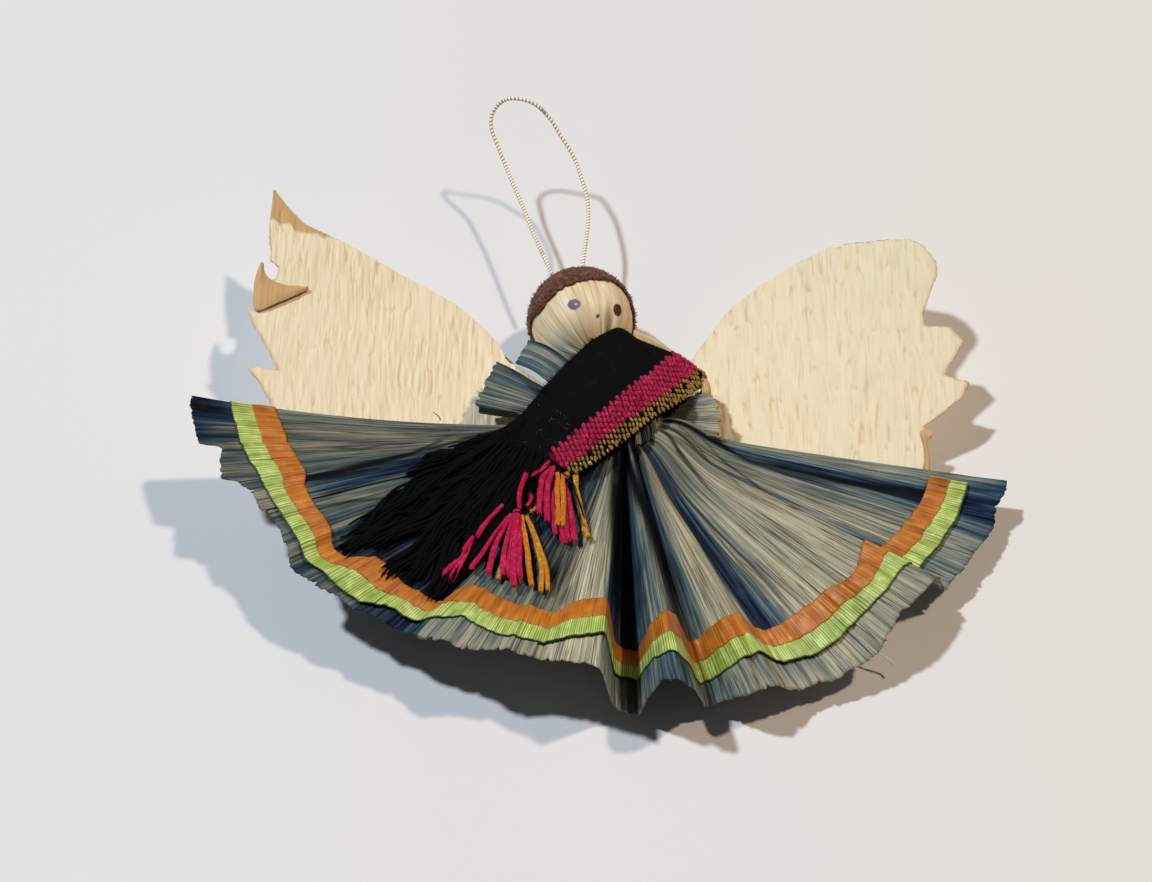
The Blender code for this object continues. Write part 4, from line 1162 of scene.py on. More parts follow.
# The skirt's leaves run on over the front of the body, under the sash
gather_degrees = np.linspace(-176, -13, 420)[None, :]
gather_out = steps_along(40)
gather_turn = np.radians(np.interp(gather_degrees, (-176, -94, -13), (176, 90, 40)))
gather_share = (WAIST_RADIUS + 0.0016) / (SKIRT_REACH * fold_row(gather_degrees)[..., 0])
gather_low = skirt_point(gather_degrees, gather_share, 0.0003)
under_sash = body_ring(0.36, 0.0013, gather_turn)
under_sash[..., 2] = np.maximum(under_sash[..., 2], 0.0172)
over_body = (gather_low[:1] + under_sash) / 2 + UP * 0.0012
curve = gather_low * (1 - gather_out[..., None]) ** 2 + 2 * over_body * (gather_out * (1 - gather_out))[..., None]
curve = curve + under_sash * (gather_out**2)[..., None]
folds = ridges(75, gather_degrees * 0.30, gather_out * 0.8) * 0.00045 * np.sin(gather_out * math.pi / 2 + 0.5)
curve = curve + UP * (folds + ridges(76, gather_degrees * 1.1, gather_out) * 0.00012)[..., None]
gather_dye = dye_at(gather_degrees + 0 * gather_out, 0.12 + 0 * gather_degrees + 0 * gather_out)
sheet_piece(
    "waist_gather",
    curve,
    0.0003,
    skirt_husk,
    "husk_blue",
    flip=True,
    fibres=together(gather_degrees * 1.3 * 0.35, 8 - gather_out * 14, 61.0),
    dye=clamp(gather_dye + 0.10 * wobble(77, gather_degrees * 0.5, gather_out)),
    # Darker patches as painted shade under the sash
    grime=clamp(0.08 + 0.60 * wobble(78, gather_degrees * 0.5, gather_out * 0.7)),
)

wrap = np.linspace(-math.tau / 24, math.tau * 13 / 24, 150)
chest = np.linspace(0.30, 0.88, 30)
rows = [body_ring(p, 0.0008 + 0.00009 * ridges(72, wrap * 9.0, p * 2), wrap) for p in chest]
sheet_piece(
    "chest_wrap",
    np.array(rows),
    0.0004,
    sleeve_husk,
    "husk_blue",
    "bodice",
    fibres=together(wrap * 9.0, chest[:, None] * 16, 5.0),
    dye=0.62 + 0.2 * wobble(73, wrap[None, :] * 2.0, chest[:, None] * 3),
)

# %% Threads round the waist and the neck
thread_finish = mottled("waxed_thread", 0.7, 0.0004, (196, 178, 138), (232, 220, 188), relief=(0.6, 0.0001))

NECK_GAP = 0.0006
NECK_LENGTH = 0.0014
NECK_RADIUS = 0.0030
HEAD_RADIUS = 0.0104
HEAD_HEIGHT = 0.0120
HEAD_CENTRE = BODY_AXIS * (BODY_LENGTH + NECK_GAP + NECK_LENGTH + HEAD_RADIUS) + UP * HEAD_HEIGHT


def wound_thread(name, ring_at, turns, spacing, radius, node):
    """A thread wound several times round; ring_at gives the route for one turn."""
    angle = np.linspace(0, turns * math.tau, int(turns * 60))
    route = ring_at(angle) + BODY_AXIS * ((angle / math.tau - turns / 2) * spacing)[:, None]
    tube_piece(name, route, radius, 8, thread_finish, "thread", node)


def waist_ring(angle):
    return body_ring(0.04, -0.0011 + 0.0003 + 0.00025, angle)


def neck_ring(angle):
    centre = HEAD_CENTRE - BODY_AXIS * (HEAD_RADIUS + NECK_LENGTH / 2)
    out = ACROSS * np.cos(angle)[:, None] + UP * np.sin(angle)[:, None]
    return centre + out * (NECK_RADIUS + 0.00035)


wound_thread("waist_thread", waist_ring, 3, 0.00028, 0.00016, "waist_tie")
wound_thread("neck_thread", neck_ring, 3, 0.00028, 0.00016, "neck_tie")
print("head centre:", [round(float(v), 4) for v in HEAD_CENTRE])

# %% [markdown]
# Arms, sleeves and collar
#
# The arms are one thin roll of husk through the chest. A wide husk is rolled
# into a bell round each end, with pleats that spread towards the cuff, and a
# folded strip lies over the left shoulder. The pleats are a wave round the
# bell that grows along it, and the cuffs are torn, not cut.

# %% Arm roll
ARM_RADIUS = 0.0013
LEFT_SHOULDER = np.array([-0.0140, 0.0036, 0.0128])
LEFT_CUFF = np.array([-0.0267, 0.0083, 0.0136])
RIGHT_SHOULDER = np.array([0.0092, 0.0022, 0.0120])
RIGHT_CUFF = np.array([0.0188, 0.0026, 0.0120])
RIGHT_CUFF_RADIUS = 0.0055
beside = RIGHT_CUFF + np.array([-ARM_RADIUS * 2, RIGHT_CUFF_RADIUS + GAP + ARM_RADIUS, ARM_RADIUS / 3])
arm_points = [
    LEFT_CUFF + (LEFT_SHOULDER - LEFT_CUFF) * 0.15,
    LEFT_SHOULDER,
    BODY_AXIS * (BODY_LENGTH * 0.5) + UP * BODY_CENTRE,
    beside - ACROSS * (ARM_RADIUS * 5),
    beside - ACROSS * (ARM_RADIUS * 1.2) + UP * 0.0010,
    beside + np.array([-0.0003, -0.0012, 0.0023]),
    beside + np.array([0.0002, -0.0030, 0.0024]),
    beside + np.array([0.0002, -0.0046, 0.0019]),
]
ARM_SIDES = 36
arm_route, arm_along = evenly(smooth_route(arm_points, 8), 0.0004)
turn = turns_round(ARM_SIDES)
hand = clamp(1 - (arm_along[-1] - arm_along) / 0.0012)[:, None]
roll = 1 + 0.07 * ridges(81, turn[None, :] * 2.2, arm_along[:, None] * 120) - 0.10 * (turn[None, :] > 5.9)
roll = roll * np.interp(arm_along[-1] - arm_along, (0.0, 0.005, 0.009), (0.74, 0.78, 1.0))[:, None]
roll = roll * np.sqrt(1 - 0.85 * hand**2)
tube_piece(
    "arm_husk_roll",
    arm_route,
    ARM_RADIUS * roll,
    ARM_SIDES,
    arm_husk,
    "husk_pale",
    "arm_roll",
    fibres=together(turn * 2.2, arm_along[:, None] * 1000, 11.0),
)

# %% Sleeves and collar
SLEEVE_FLAT = 0.62
SLEEVE_ROWS, SLEEVE_COLUMNS = 50, 190


def sleeve(name, shoulder, cuff, near_radius, far_radius, seed, dye_values, node, inward=0.0, cut_back=0.0):
    axis = unit(cuff - shoulder)
    length = np.linalg.norm(cuff - shoulder)
    side = unit(np.cross(axis, UP))
    lift = np.cross(side, axis)
    turn = np.linspace(0, math.tau, SLEEVE_COLUMNS)[None, :]
    out = steps_along(SLEEVE_ROWS, inward)
    torn = 1 + 0.035 * wobble(seed, turn * 3.0) + 0.03 * wobble(seed + 1, turn * 9)
    radius = near_radius + (far_radius - near_radius) * clamp(out)
    radius = radius - 0.00002 + (wobble(seed + 2, turn * 2.8, out * 1.5) * 0.00060 - 0.0001) * np.clip(out, 0.3, 1)
    radius = radius + ridges(seed + 3, turn * 6.0, out * 1.2) * 0.00010
    far_side = clamp(-np.cos(turn))
    slant = 1 - cut_back * far_side**1.3 * clamp(out)
    radius = radius + cut_back * 0.0024 * clamp(np.cos(turn)) * clamp(out)
    along = (axis * length) * (out * torn * slant)[..., None]
    around = side * np.cos(turn)[..., None] + lift * (np.sin(turn) * SLEEVE_FLAT)[..., None]
    points = shoulder + along + around * radius[..., None]
    streaks = 0.168 * ridges(seed + 5, turn * 3.0, out)
    # Painted shade: darker towards the shoulder, and the right sleeve nearly all dark up to six tenths of the way out
    dirt_and_shade = np.clip(0.45 - out * 0.75, 0, 0.85) * 0.4 + streaks
    if cut_back:
        dirt_and_shade = 0.90 * clamp((0.60 + 0.05 * wobble(seed + 6, turn * 2.0) - out) * 12) + streaks
    sheet_piece(
        name,
        points,
        0.0003,
        sleeve_husk,
        "husk_blue",
        node,
        fibres=together(turn * 3.4, out * 13, seed),
        dye=np.interp(out, (0, 0.5, 1), dye_values) + 0.16 * wobble(seed + 4, turn * 1.5, out * 1.3),
        grime=np.clip(dirt_and_shade, 0, 0.85),
    )
    return points


LEFT_TONES, RIGHT_TONES = (0.62, 0.52, 0.54), (0.52, 0.40, 0.25)
sleeve("left_puff", LEFT_SHOULDER, LEFT_CUFF, 0.0033, 0.0062, 91, LEFT_TONES, "left_sleeve", -0.3)
right_points = sleeve(
    "right_puff", RIGHT_SHOULDER, RIGHT_CUFF, 0.0035, 0.0055, 101, RIGHT_TONES, "right_sleeve", -0.6, 0.42
)

# Tatters stand out of the right cuff, which is the last row of the sleeve
TATTERS = 120
draw = np.random.default_rng(105)
picked = right_points[-1, draw.integers(0, SLEEVE_COLUMNS, TATTERS)]
outward = unit(unit(RIGHT_CUFF - RIGHT_SHOULDER) + 0.45 * draw.normal(size=(TATTERS, 3)))
tatters = (picked - outward * 0.0003, outward, draw.uniform(0.0004, 0.0012, TATTERS))

COLLAR = np.array((
    ((-0.0140, 0.0036, 0.0198), (-0.0108, 0.0092, 0.0206)),
    ((-0.0214, 0.0113, 0.0176), (-0.0187, 0.0170, 0.0180)),
))
along = np.linspace(0, 1, 50)[:, None, None]
wide = np.linspace(0, 1, 60)[None, :, None]
near = COLLAR[0, 0] * (1 - wide) + COLLAR[0, 1] * wide
far = COLLAR[1, 0] * (1 - wide) + COLLAR[1, 1] * wide
torn = 1 + 0.02 * wobble(111, wide * 12)
strip = near + (far - near) * (along * torn) + UP * (0.001 * np.sin(np.pi * along))
strip = strip + UP * (0.00012 * ridges(112, wide * 8.0, along * 1.5) + 0.0002 * wobble(113, wide * 2.5, along))
sheet_piece(
    "shoulder_strip",
    strip,
    0.00035,
    sleeve_husk,
    "husk_blue",
    "collar_strip",
    flip=True,
    fibres=together(wide[..., 0] * 6.5, along[..., 0] * 11, 21.0),
    dye=(0.56 + 0.14 * wobble(114, wide * 3, along * 2))[..., 0],
)

# A pale husk edge that shows behind the sash on the right shoulder
PALE_UPPER = (
    (2.2, 18.2, 19.5), (4.6, 17.5, 19.0), (7.0, 16.5, 18.0),
    (9.0, 16.0, 16.5), (10.6, 15.5, 15.0), (12.2, 14.3, 13.6),
)
PALE_LOWER = (
    (1.8, 14.6, 18.5), (4.5, 13.6, 18.0), (6.9, 12.9, 17.0),
    (8.9, 12.9, 15.5), (10.5, 12.9, 14.0), (12.0, 13.2, 12.6),
)
upper_line, lower_line = (smooth_route(np.array(line) * MM, 10) for line in (PALE_UPPER, PALE_LOWER))
wide = np.linspace(0, 1, 14)[None, :, None]
pale = upper_line[:, None] * (1 - wide) + lower_line[:, None] * wide
pale = pale + UP * (0.00012 * ridges(115, wide * 5.0, np.linspace(0, 2, len(upper_line))[:, None, None]))
pale_fibres = together(wide[..., 0] * 7.0, np.linspace(0, 12, len(upper_line))[:, None], 33.0)
sheet_piece("shoulder_edge", pale, 0.0003, core_husk, "husk_pale", fibres=pale_fibres)
print("arm points:", len(arm_route))

# %% [markdown]
# The sash
#
# The sash is a scrap of hand-woven black cloth over the right shoulder and
# down across the chest. Along its lower edge runs a border of raised floats,
# pink first, then gold and black. The cloth is one sheet. The floats
# are egg-shaped stitches in slanting lines, which start at the border's middle
# and run to both of its edges, and a last row of them follows its rim.

# %% Sash cloth finish
def wool(name, dark, pale, spot_size=0.0007, cover=0.5, sheen=0.06):
    """Matt yarn or cloth: a mottled colour with a soft sheen, and fuzz from fine bumps."""
    made, tree, shader = new_finish(name, 0.92, Sheen_Weight=sheen, Sheen_Roughness=0.6, Specular_IOR_Level=0.12)
    fuzz = spots_in(tree, spot_size, cover, 0.25)
    patches = spots_in(tree, spot_size * 6, 0.5, 0.3)
    share = scaled(tree, fuzz["Mask"], 0.7)
    share = math_node(tree, "MULTIPLY_ADD", patches["Mask"], 0.3, share)
    paint(tree, shader, mix(tree, share, dark, pale))
    tree.links.new(remap(tree, fuzz["Mask"], 0, 1, 0.85, 1.0), shader.inputs["Roughness"])
    bump(tree, shader, fuzz["Height"], 0.7, 0.00015)
    return made


def cloth_with_border():
    """Matt black cloth: fine threads both ways, worn paler spots, and dark crimson where the pink floats lie."""
    made, tree, shader = new_finish("black_cloth", 0.93, Sheen_Weight=0.01, Specular_IOR_Level=0.10)
    place = add(tree, "ShaderNodeSeparateXYZ", {0: stored(tree, "fibres", "Vector")})
    turns = [math_node(tree, "SINE", scaled(tree, place.outputs[k], math.tau)) for k in ("X", "Y")]
    threads = remap(tree, scaled(tree, *turns), -1, 1)
    worn = spots_in(tree, 0.0026, 0.42, 0.25)
    fuzz = spots_in(tree, 0.0004, 0.4, 0.3)
    share = math_node(tree, "MULTIPLY_ADD", worn["Mask"], 0.45, scaled(tree, threads, 0.35))
    share = math_node(tree, "MULTIPLY_ADD", fuzz["Mask"], 0.30, share)
    black = mix(tree, share, (5, 5, 6), (24, 24, 26))
    colour = mix(tree, stored(tree, "tone"), black, (96, 8, 38))
    paint(tree, shader, colour)
    bump(tree, shader, math_node(tree, "ADD", threads, fuzz["Height"]), 0.5, 0.00008)
    return made


sash_finish = cloth_with_border()
black_yarn = wool("black_yarn", (3, 3, 4), (10, 9, 11), 0.0006, 0.45, 0.0)
pink_yarn = wool("pink_yarn", (176, 10, 64), (238, 56, 120), 0.0008)
pink_stitch = wool("pink_stitch", (158, 16, 60), (232, 76, 120), 0.0005)
gold_stitch = wool("gold_stitch", (132, 96, 36), (222, 178, 96), 0.0005)
gold_yarn = wool("gold_yarn", (180, 116, 28), (240, 180, 66), 0.0008)
orange_yarn = wool("orange_yarn", (196, 108, 24), (240, 166, 60), 0.0008)

# %% The sash's cloth
SASH_SPAN = 0.0400
SASH_THICKNESS = 0.0006
SASH_SHARES = np.array((
    (
        (-0.15, 0.33, 0.558), (-0.025, 0.39, 0.57), (0.083, 0.315, 0.565),
        (0.268, 0.278, 0.488), (0.388, 0.253, 0.39),
    ),
    (
        (-0.223, 0.255, 0.55), (-0.115, 0.243, 0.565), (0.018, 0.155, 0.56),
        (0.19, 0.158, 0.513), (0.35, 0.173, 0.42),
    ),
    (
        (-0.278, 0.193, 0.538), (-0.165, 0.12, 0.555), (-0.058, 0.043, 0.555),
        (0.08, 0.013, 0.53), (0.238, 0.018, 0.463),
    ),
    (
        (-0.34, 0.113, 0.525), (-0.238, 0.015, 0.54), (-0.14, -0.063, 0.54),
        (-0.03, -0.103, 0.52), (0.118, -0.093, 0.48),
    ),
    (
        (-0.398, 0.048, 0.505), (-0.31, -0.058, 0.52), (-0.223, -0.145, 0.525),
        (-0.118, -0.188, 0.51), (0.02, -0.20, 0.485),
    ),
    (
        (-0.448, -0.02, 0.485), (-0.368, -0.118, 0.50), (-0.295, -0.203, 0.505),
        (-0.195, -0.253, 0.495), (-0.078, -0.285, 0.475),
    ),
    (
        (-0.505, -0.108, 0.46), (-0.43, -0.188, 0.47), (-0.358, -0.26, 0.475),
        (-0.263, -0.308, 0.47), (-0.175, -0.368, 0.46),
    ),
    (
        (-0.573, -0.203, 0.435), (-0.503, -0.248, 0.445), (-0.415, -0.29, 0.45),
        (-0.338, -0.355, 0.445), (-0.265, -0.415, 0.435),
    ),
))
SASH_DROP = np.array((1.0, 1.0, 0.85, 0.5, 0.1))
LENGTH_STEPS = 14
WIDTH_STEPS = 16
BORDER_OVERHANG = 0.2

rows = SASH_SHARES * SASH_SPAN
rows[:, 4] += (rows[:, 4] - rows[:, 3]) * BORDER_OVERHANG
behind = rows[0] + BODY_AXIS * 0.0018 - UP * (0.0035 * SASH_DROP)[:, None]
rows = np.concatenate([behind[None], rows])
fine = np.array([smooth_route(rows[:, k], LENGTH_STEPS) for k in range(rows.shape[1])])
cloth = np.array([smooth_route(fine[:, r], WIDTH_STEPS) for r in range(fine.shape[1])])
cloth_normals = unit(np.cross(np.gradient(cloth, axis=1), np.gradient(cloth, axis=0)))
cloth_normals = cloth_normals * np.sign(cloth_normals[..., 2:])
down, over = np.meshgrid(np.linspace(0, 1, cloth.shape[0]), np.linspace(0, 1, cloth.shape[1]), indexing="ij")
weave = 0.00004 * np.cos(down * 62 * math.tau) * np.cos(over * 48 * math.tau)
rumple = 0.00016 * wobble(121, down * 7, over * 5) + 0.00008 * wobble(122, down * 21, over * 13)
cloth = cloth + cloth_normals * (weave + rumple)[..., None]
EDGE_PLACES = (1.0, 2.0, 3.0, 5.0, 8.0)
PINK_EDGES = (2.84, 2.74, 2.62, 2.48, 2.47)
GOLD_EDGES = (3.56, 3.52, 3.49, 3.44, 3.50)
length_place, width_place = down * (fine.shape[1] - 1) / LENGTH_STEPS, over * (rows.shape[1] - 1)
past_pink = width_place - np.interp(length_place, EDGE_PLACES, PINK_EDGES)
past_gold = width_place - np.interp(length_place, EDGE_PLACES, GOLD_EDGES)
under_pink = clamp(past_pink * 8) * clamp(-past_gold * 8 + 0.5)
weave_place = together(down * 62, over * 48, 0.0)
sash = sheet_piece("woven_sash", cloth, SASH_THICKNESS, sash_finish, "sash_cloth", fibres=weave_place, tone=under_pink)

# %% Raised floats of the border
LAST_EDGE = 3.99
RIM_SPACING = 0.0011
LINE_SPACING = 0.00090
FLOAT_PITCH = 0.00120
LINE_ANGLE = math.radians(-66)
BEAD_RINGS = 6
BEAD_SIDES = 8
SMALL_STEP = 0.02
MOST_FLOATS = 9
RIM_PLACES = np.linspace(0.3, 7.95, 300)


def on_cloth(length_place, width_place):
    """Points of the cloth and its normals, at places counted in the table's rows and columns."""
    r = np.clip(np.asarray(length_place) * LENGTH_STEPS, 0, cloth.shape[0] - 1.001)
    c = np.clip(np.asarray(width_place) * WIDTH_STEPS, 0, cloth.shape[1] - 1.001)
    r0, c0 = r.astype(int), c.astype(int)
    fr, fc = (r - r0)[..., None], (c - c0)[..., None]

    def between(grid):
        near = grid[r0, c0] * (1 - fc) + grid[r0, c0 + 1] * fc
        far = grid[r0 + 1, c0] * (1 - fc) + grid[r0 + 1, c0 + 1] * fc
        return near * (1 - fr) + far * fr

    return between(cloth), unit(between(cloth_normals))


def bead_shape():
    """An egg with its long axis along the first direction, as points and faces."""
    lean = np.linspace(0, math.pi, BEAD_RINGS + 2)[1:-1]
    turn = turns_round(BEAD_SIDES)
    body = [[math.cos(a), math.sin(a) * math.cos(t), math.sin(a) * math.sin(t)] for a in lean for t in turn]
    faces = [tuple(f) for f in grid_faces(BEAD_RINGS, BEAD_SIDES, True)]
    first, last = len(body), len(body) + 1
    for k in range(BEAD_SIDES):
        j = (k + 1) % BEAD_SIDES
        faces.append((first, k, j))
        faces.append((last, (BEAD_RINGS - 1) * BEAD_SIDES + j, (BEAD_RINGS - 1) * BEAD_SIDES + k))
    return np.array(body + [[1.0, 0, 0], [-1.0, 0, 0]]), np.array(faces, object)


bead_points, bead_faces = bead_shape()


def stitches(name, finish, slot, places, long_radius, wide_radius, high_radius, seed):
    """Raised stitches on the cloth. Each place is (length place, width place, direction along the stitch)."""
    draw = np.random.default_rng(seed)
    points, faces = [], []
    for down_place, over_place, direction in places:
        here, normal = on_cloth(down_place, over_place)
        across = unit(np.cross(normal, direction))
        size = draw.uniform((0.90, 0.85, 0.85), (1.10, 1.15, 1.15))
        direction = unit(direction + across * draw.uniform(-0.22, 0.22))
        across = unit(np.cross(normal, direction))
        scaled = bead_points * size * (long_radius, wide_radius, high_radius)
        placed = here + normal * 0.00010 + scaled[:, :1] * direction + scaled[:, 1:2] * across + scaled[:, 2:] * normal
        faces += [tuple(int(i) + len(points) * len(bead_points) for i in face) for face in bead_faces]
        points.append(placed)
    return new_mesh(name, np.concatenate(points), faces, finish, slot)


def next_place(place, length, angle):
    """The place on the cloth this far along, in a direction given from above, and the way there."""
    here, _ = on_cloth(*place)
    per_down = on_cloth(place[0] + SMALL_STEP, place[1])[0] - here
    per_over = on_cloth(place[0], place[1] + SMALL_STEP)[0] - here
    rates = np.column_stack([per_down, per_over]) / SMALL_STEP
    turn = np.array([math.cos(angle), math.sin(angle)])
    step = np.linalg.lstsq(rates[:2], turn, rcond=None)[0]
    way = rates @ step
    size = np.linalg.norm(way)
    return place + step * (length / size), way / size


around_corner = np.column_stack([np.full(60, 0.30), np.linspace(3.95, 3.07, 60)])
straight_on = np.column_stack([np.linspace(0.30, 9.6, 400), np.full(400, 3.05)])
middle_places = np.concatenate([around_corner, straight_on])
middle_line, _ = on_cloth(middle_places[:, 0], middle_places[:, 1])
run = length_along(middle_line)
lines = int(run[-1] / LINE_SPACING)
pink_places, gold_places, black_places = [], [], []
for line in range(lines):
    start = np.array([np.interp((line + 0.5) * LINE_SPACING, run, middle_places[:, k]) for k in (0, 1)])
    for way, angle in ((1, LINE_ANGLE), (-1, LINE_ANGLE + math.pi)):
        place = start
        if line % 2:
            place, _ = next_place(place, FLOAT_PITCH / 2, LINE_ANGLE)
        if way < 0:
            place, _ = next_place(place, FLOAT_PITCH, angle)
        for count in range(MOST_FLOATS):
            onward, direction = next_place(place, FLOAT_PITCH, angle)
            if not 0.12 < place[0] < 7.98 or place[1] > LAST_EDGE:
                break
            pink_edge = float(np.interp(place[0], EDGE_PLACES, PINK_EDGES))
            gold_edge = float(np.interp(place[0], EDGE_PLACES, GOLD_EDGES))
            if place[1] < pink_edge:
                break
            if place[1] < gold_edge:
                pink_places.append((*place, direction))
            else:
                (black_places if (line * 3 + count) % 11 == 4 else gold_places).append((*place, direction))
            place = onward
rim_run = length_along(on_cloth(RIM_PLACES, LAST_EDGE + 0 * RIM_PLACES)[0])
for at in np.arange(0.0004, rim_run[-1], RIM_SPACING):
    place = np.array([np.interp(at, rim_run, RIM_PLACES), LAST_EDGE - 0.02])
    gold_places.append((*place, next_place(place, FLOAT_PITCH, LINE_ANGLE)[1]))
pink_floats = stitches("pink_floats", pink_stitch, "yarn_pink", pink_places, 0.00070, 0.00042, 0.00038, 5)
gold_floats = stitches("gold_floats", gold_stitch, "yarn_pink", gold_places, 0.00056, 0.00027, 0.00032, 6)
black_floats = stitches("black_floats", black_yarn, "yarn_black", black_places, 0.00060, 0.00034, 0.00028, 7)
print("lines of floats:", lines, "floats:", len(pink_places), len(gold_places), len(black_places))

# %% Loose fuzz and lint on the cloth
def hairs(name, starts, directions, lengths, radius, finish, slot, seed, curl=0.5, taper=0.35):
    """Short bent fibres, each a thin three-sided tube."""
    draw = np.random.default_rng(seed)
    steps = 5
    t = np.linspace(0, 1, steps)[None, :, None]
    count = len(starts)
    bend = unit(draw.normal(size=(count, 3)))
    route = starts[:, None] + directions[:, None] * lengths[:, None, None] * t
    route = route + bend[:, None] * (lengths[:, None, None] * curl * t**2)
    side = unit(np.cross(directions, bend) + 1e-9)
    other = unit(np.cross(directions, side) + 1e-9)
    radius = np.broadcast_to(radius, (count,))[:, None, None] * (1 - (1 - taper) * t)
    ring = [side * math.cos(a) + other * math.sin(a) for a in (0, math.tau / 3, 2 * math.tau / 3)]
    points = np.stack([route + direction[:, None] * radius for direction in ring], 2)
    faces = [face[::-1] for face in capped_faces(steps, 3, count)]
    return new_mesh(name, points, faces, finish, slot)


# The sash sheds fuzz and has lint on it, the right cuff is in tatters, and a stalk and a thread lie loose
LOOSE_AREA = (0.2, 7.9)
EDGE_FUZZ = 500
LINT = 30
draw = np.random.default_rng(131)
FUZZ_COUNT = 900
fuzz_at, fuzz_normal = on_cloth(draw.uniform(*LOOSE_AREA, FUZZ_COUNT), draw.uniform(0.0, 2.7, FUZZ_COUNT))
fuzz_ways = unit(fuzz_normal + draw.normal(size=(FUZZ_COUNT, 3)) * 0.9)
fuzz_lengths = draw.uniform(0.0004, 0.0011, FUZZ_COUNT)
fuzz = hairs("sash_fuzz", fuzz_at, fuzz_ways, fuzz_lengths, 0.00003, black_yarn, "yarn_black", 132)
edge_at, _ = on_cloth(draw.uniform(*LOOSE_AREA, EDGE_FUZZ), np.zeros(EDGE_FUZZ) + 0.02)
draw.random(EDGE_FUZZ)  # Not used, but the later draws stay as they are
edge_ways = unit(unit(np.array([-1.0, 0.6, 0.2])) + draw.normal(size=(EDGE_FUZZ, 3)) * 0.6)
edge_lengths = draw.uniform(0.0003, 0.0009, EDGE_FUZZ)
edge_fuzz = hairs("selvedge_fuzz", edge_at, edge_ways, edge_lengths, 0.00003, black_yarn, "yarn_black", 133)
lint_finish = mottled("pale_lint", 0.9, 0.001, (96, 96, 92), (176, 174, 164))
lint_down, lint_over = np.clip(draw.normal(6.3, 0.8, LINT), 3, 7.8), np.clip(draw.normal(1.7, 0.6, LINT), 0.3, 2.4)
lint_at, lint_normal = on_cloth(lint_down, lint_over)
lint_ways = unit(np.cross(lint_normal, draw.normal(size=(LINT, 3))))
lint_at, lint_lengths = lint_at + lint_normal * 0.0001, draw.uniform(0.0003, 0.0007, LINT)
lint = hairs("sash_lint", lint_at, lint_ways, lint_lengths, 0.00004, lint_finish, "thread", 134)
hairs("cuff_tatters", *tatters, 0.00016, arm_husk, "husk_pale", 106, taper=0.2)
white_cotton = mottled("white_cotton", 0.8, 0.001, (240, 238, 230), (252, 251, 247))
STALK_PLACES = ((-35.7, -3.3, 17.2), (-36.1, -2.9, 17.9), (-36.7, -2.5, 18.1), (-37.1, -2.0, 18.0))
THREAD_PLACES = ((46.0, -49.0, 5.4), (47.9, -50.3, 4.6), (49.2, -50.9, 3.9), (50.1, -51.5, 3.5), (50.7, -52.4, 3.3))
STRAYS = (
    ("stray_stalk", arm_husk, "husk_pale", 0.00014, STALK_PLACES),
    ("stray_thread", white_cotton, "thread", 0.00022, THREAD_PLACES),
)
for name, finish, slot, radius, places in STRAYS:
    tube_piece(name, smooth_route(np.array(places) * MM, 8), radius, 6, finish, slot)
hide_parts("sash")
print("fuzz fibres:", FUZZ_COUNT)

# %% [markdown]
# Loose yarns
#
# The sash's warp ends fan out over the skirt as a black fringe, and three
# small tassels of pink and gold yarn hang from the border's end. A yarn is a
# bundle of soft strands, so each one is several thin tubes twisted round a
# common route. The routes start at the cloth's edge and settle on the skirt.

# %% Yarns laid on the skirt
def settle(start, end, lift, seed, sway=0.0008, steps=26, fall=2.2):
    """A route from a point in the air down to the skirt, and along it to its end."""
    t = np.linspace(0, 1, steps)
    start, end = np.asarray(start, float), np.asarray(end, float)
    flat = start[:2] + (end - start)[:2] * t[:, None]
    square = unit(np.array([-(end - start)[1], (end - start)[0]]))
    swing = (wobble(seed, t * 3.2) + 0.5 * wobble(seed + 7, t * 7.0)) * sway * np.sin(t * math.pi * 0.62)
    flat = flat + square * swing[:, None]
    rest = skirt_top(flat[:, 0], flat[:, 1]) + lift
    above = np.maximum(start[2] - rest[0], 0.0)
    return np.column_stack([flat, rest + above * (1 - t) ** fall])


def yarn_bundle(route, plies, ply_radius, spread, twist, seed, flare=0.0):
    """Soft fibres that run side by side round a route and open out at its end, as a list of grids of points."""
    draw = np.random.default_rng(seed)
    first, second = sides_of(route)
    t = np.linspace(0, 1, len(route))
    grids = []
    for k in range(plies):
        angle = math.tau * k * 0.382 * 2.6 + t * twist * math.tau + 0.5 * wobble(seed + k, t * 4)
        out = spread * math.sqrt((k + 0.5) / plies) * (1 + flare * t**2 + 0.22 * wobble(seed + 9 + k, t * 5))
        centre = route + first * (np.cos(angle) * out)[:, None] + second * (np.sin(angle) * out)[:, None]
        end = int(len(route) * draw.uniform(0.90, 1.0))
        reach = np.linspace(0, end - 1, len(route))
        centre = np.stack([np.interp(reach, np.arange(len(route)), centre[:, j]) for j in range(3)], 1)
        thin = ply_radius * draw.uniform(0.8, 1.2) * (1 + 0.18 * wobble(seed + 20 + k, t * 16))
        thin = thin * np.clip((1.03 - t) * 12, 0.4, 1)
        grids.append(tube_grid(centre, thin[:, None], 6))
    return grids


def yarn_piece(name, grids, finish, slot, node=None):
    return new_mesh(name, np.array(grids), capped_faces(*grids[0].shape[:2], len(grids)), finish, slot, node)


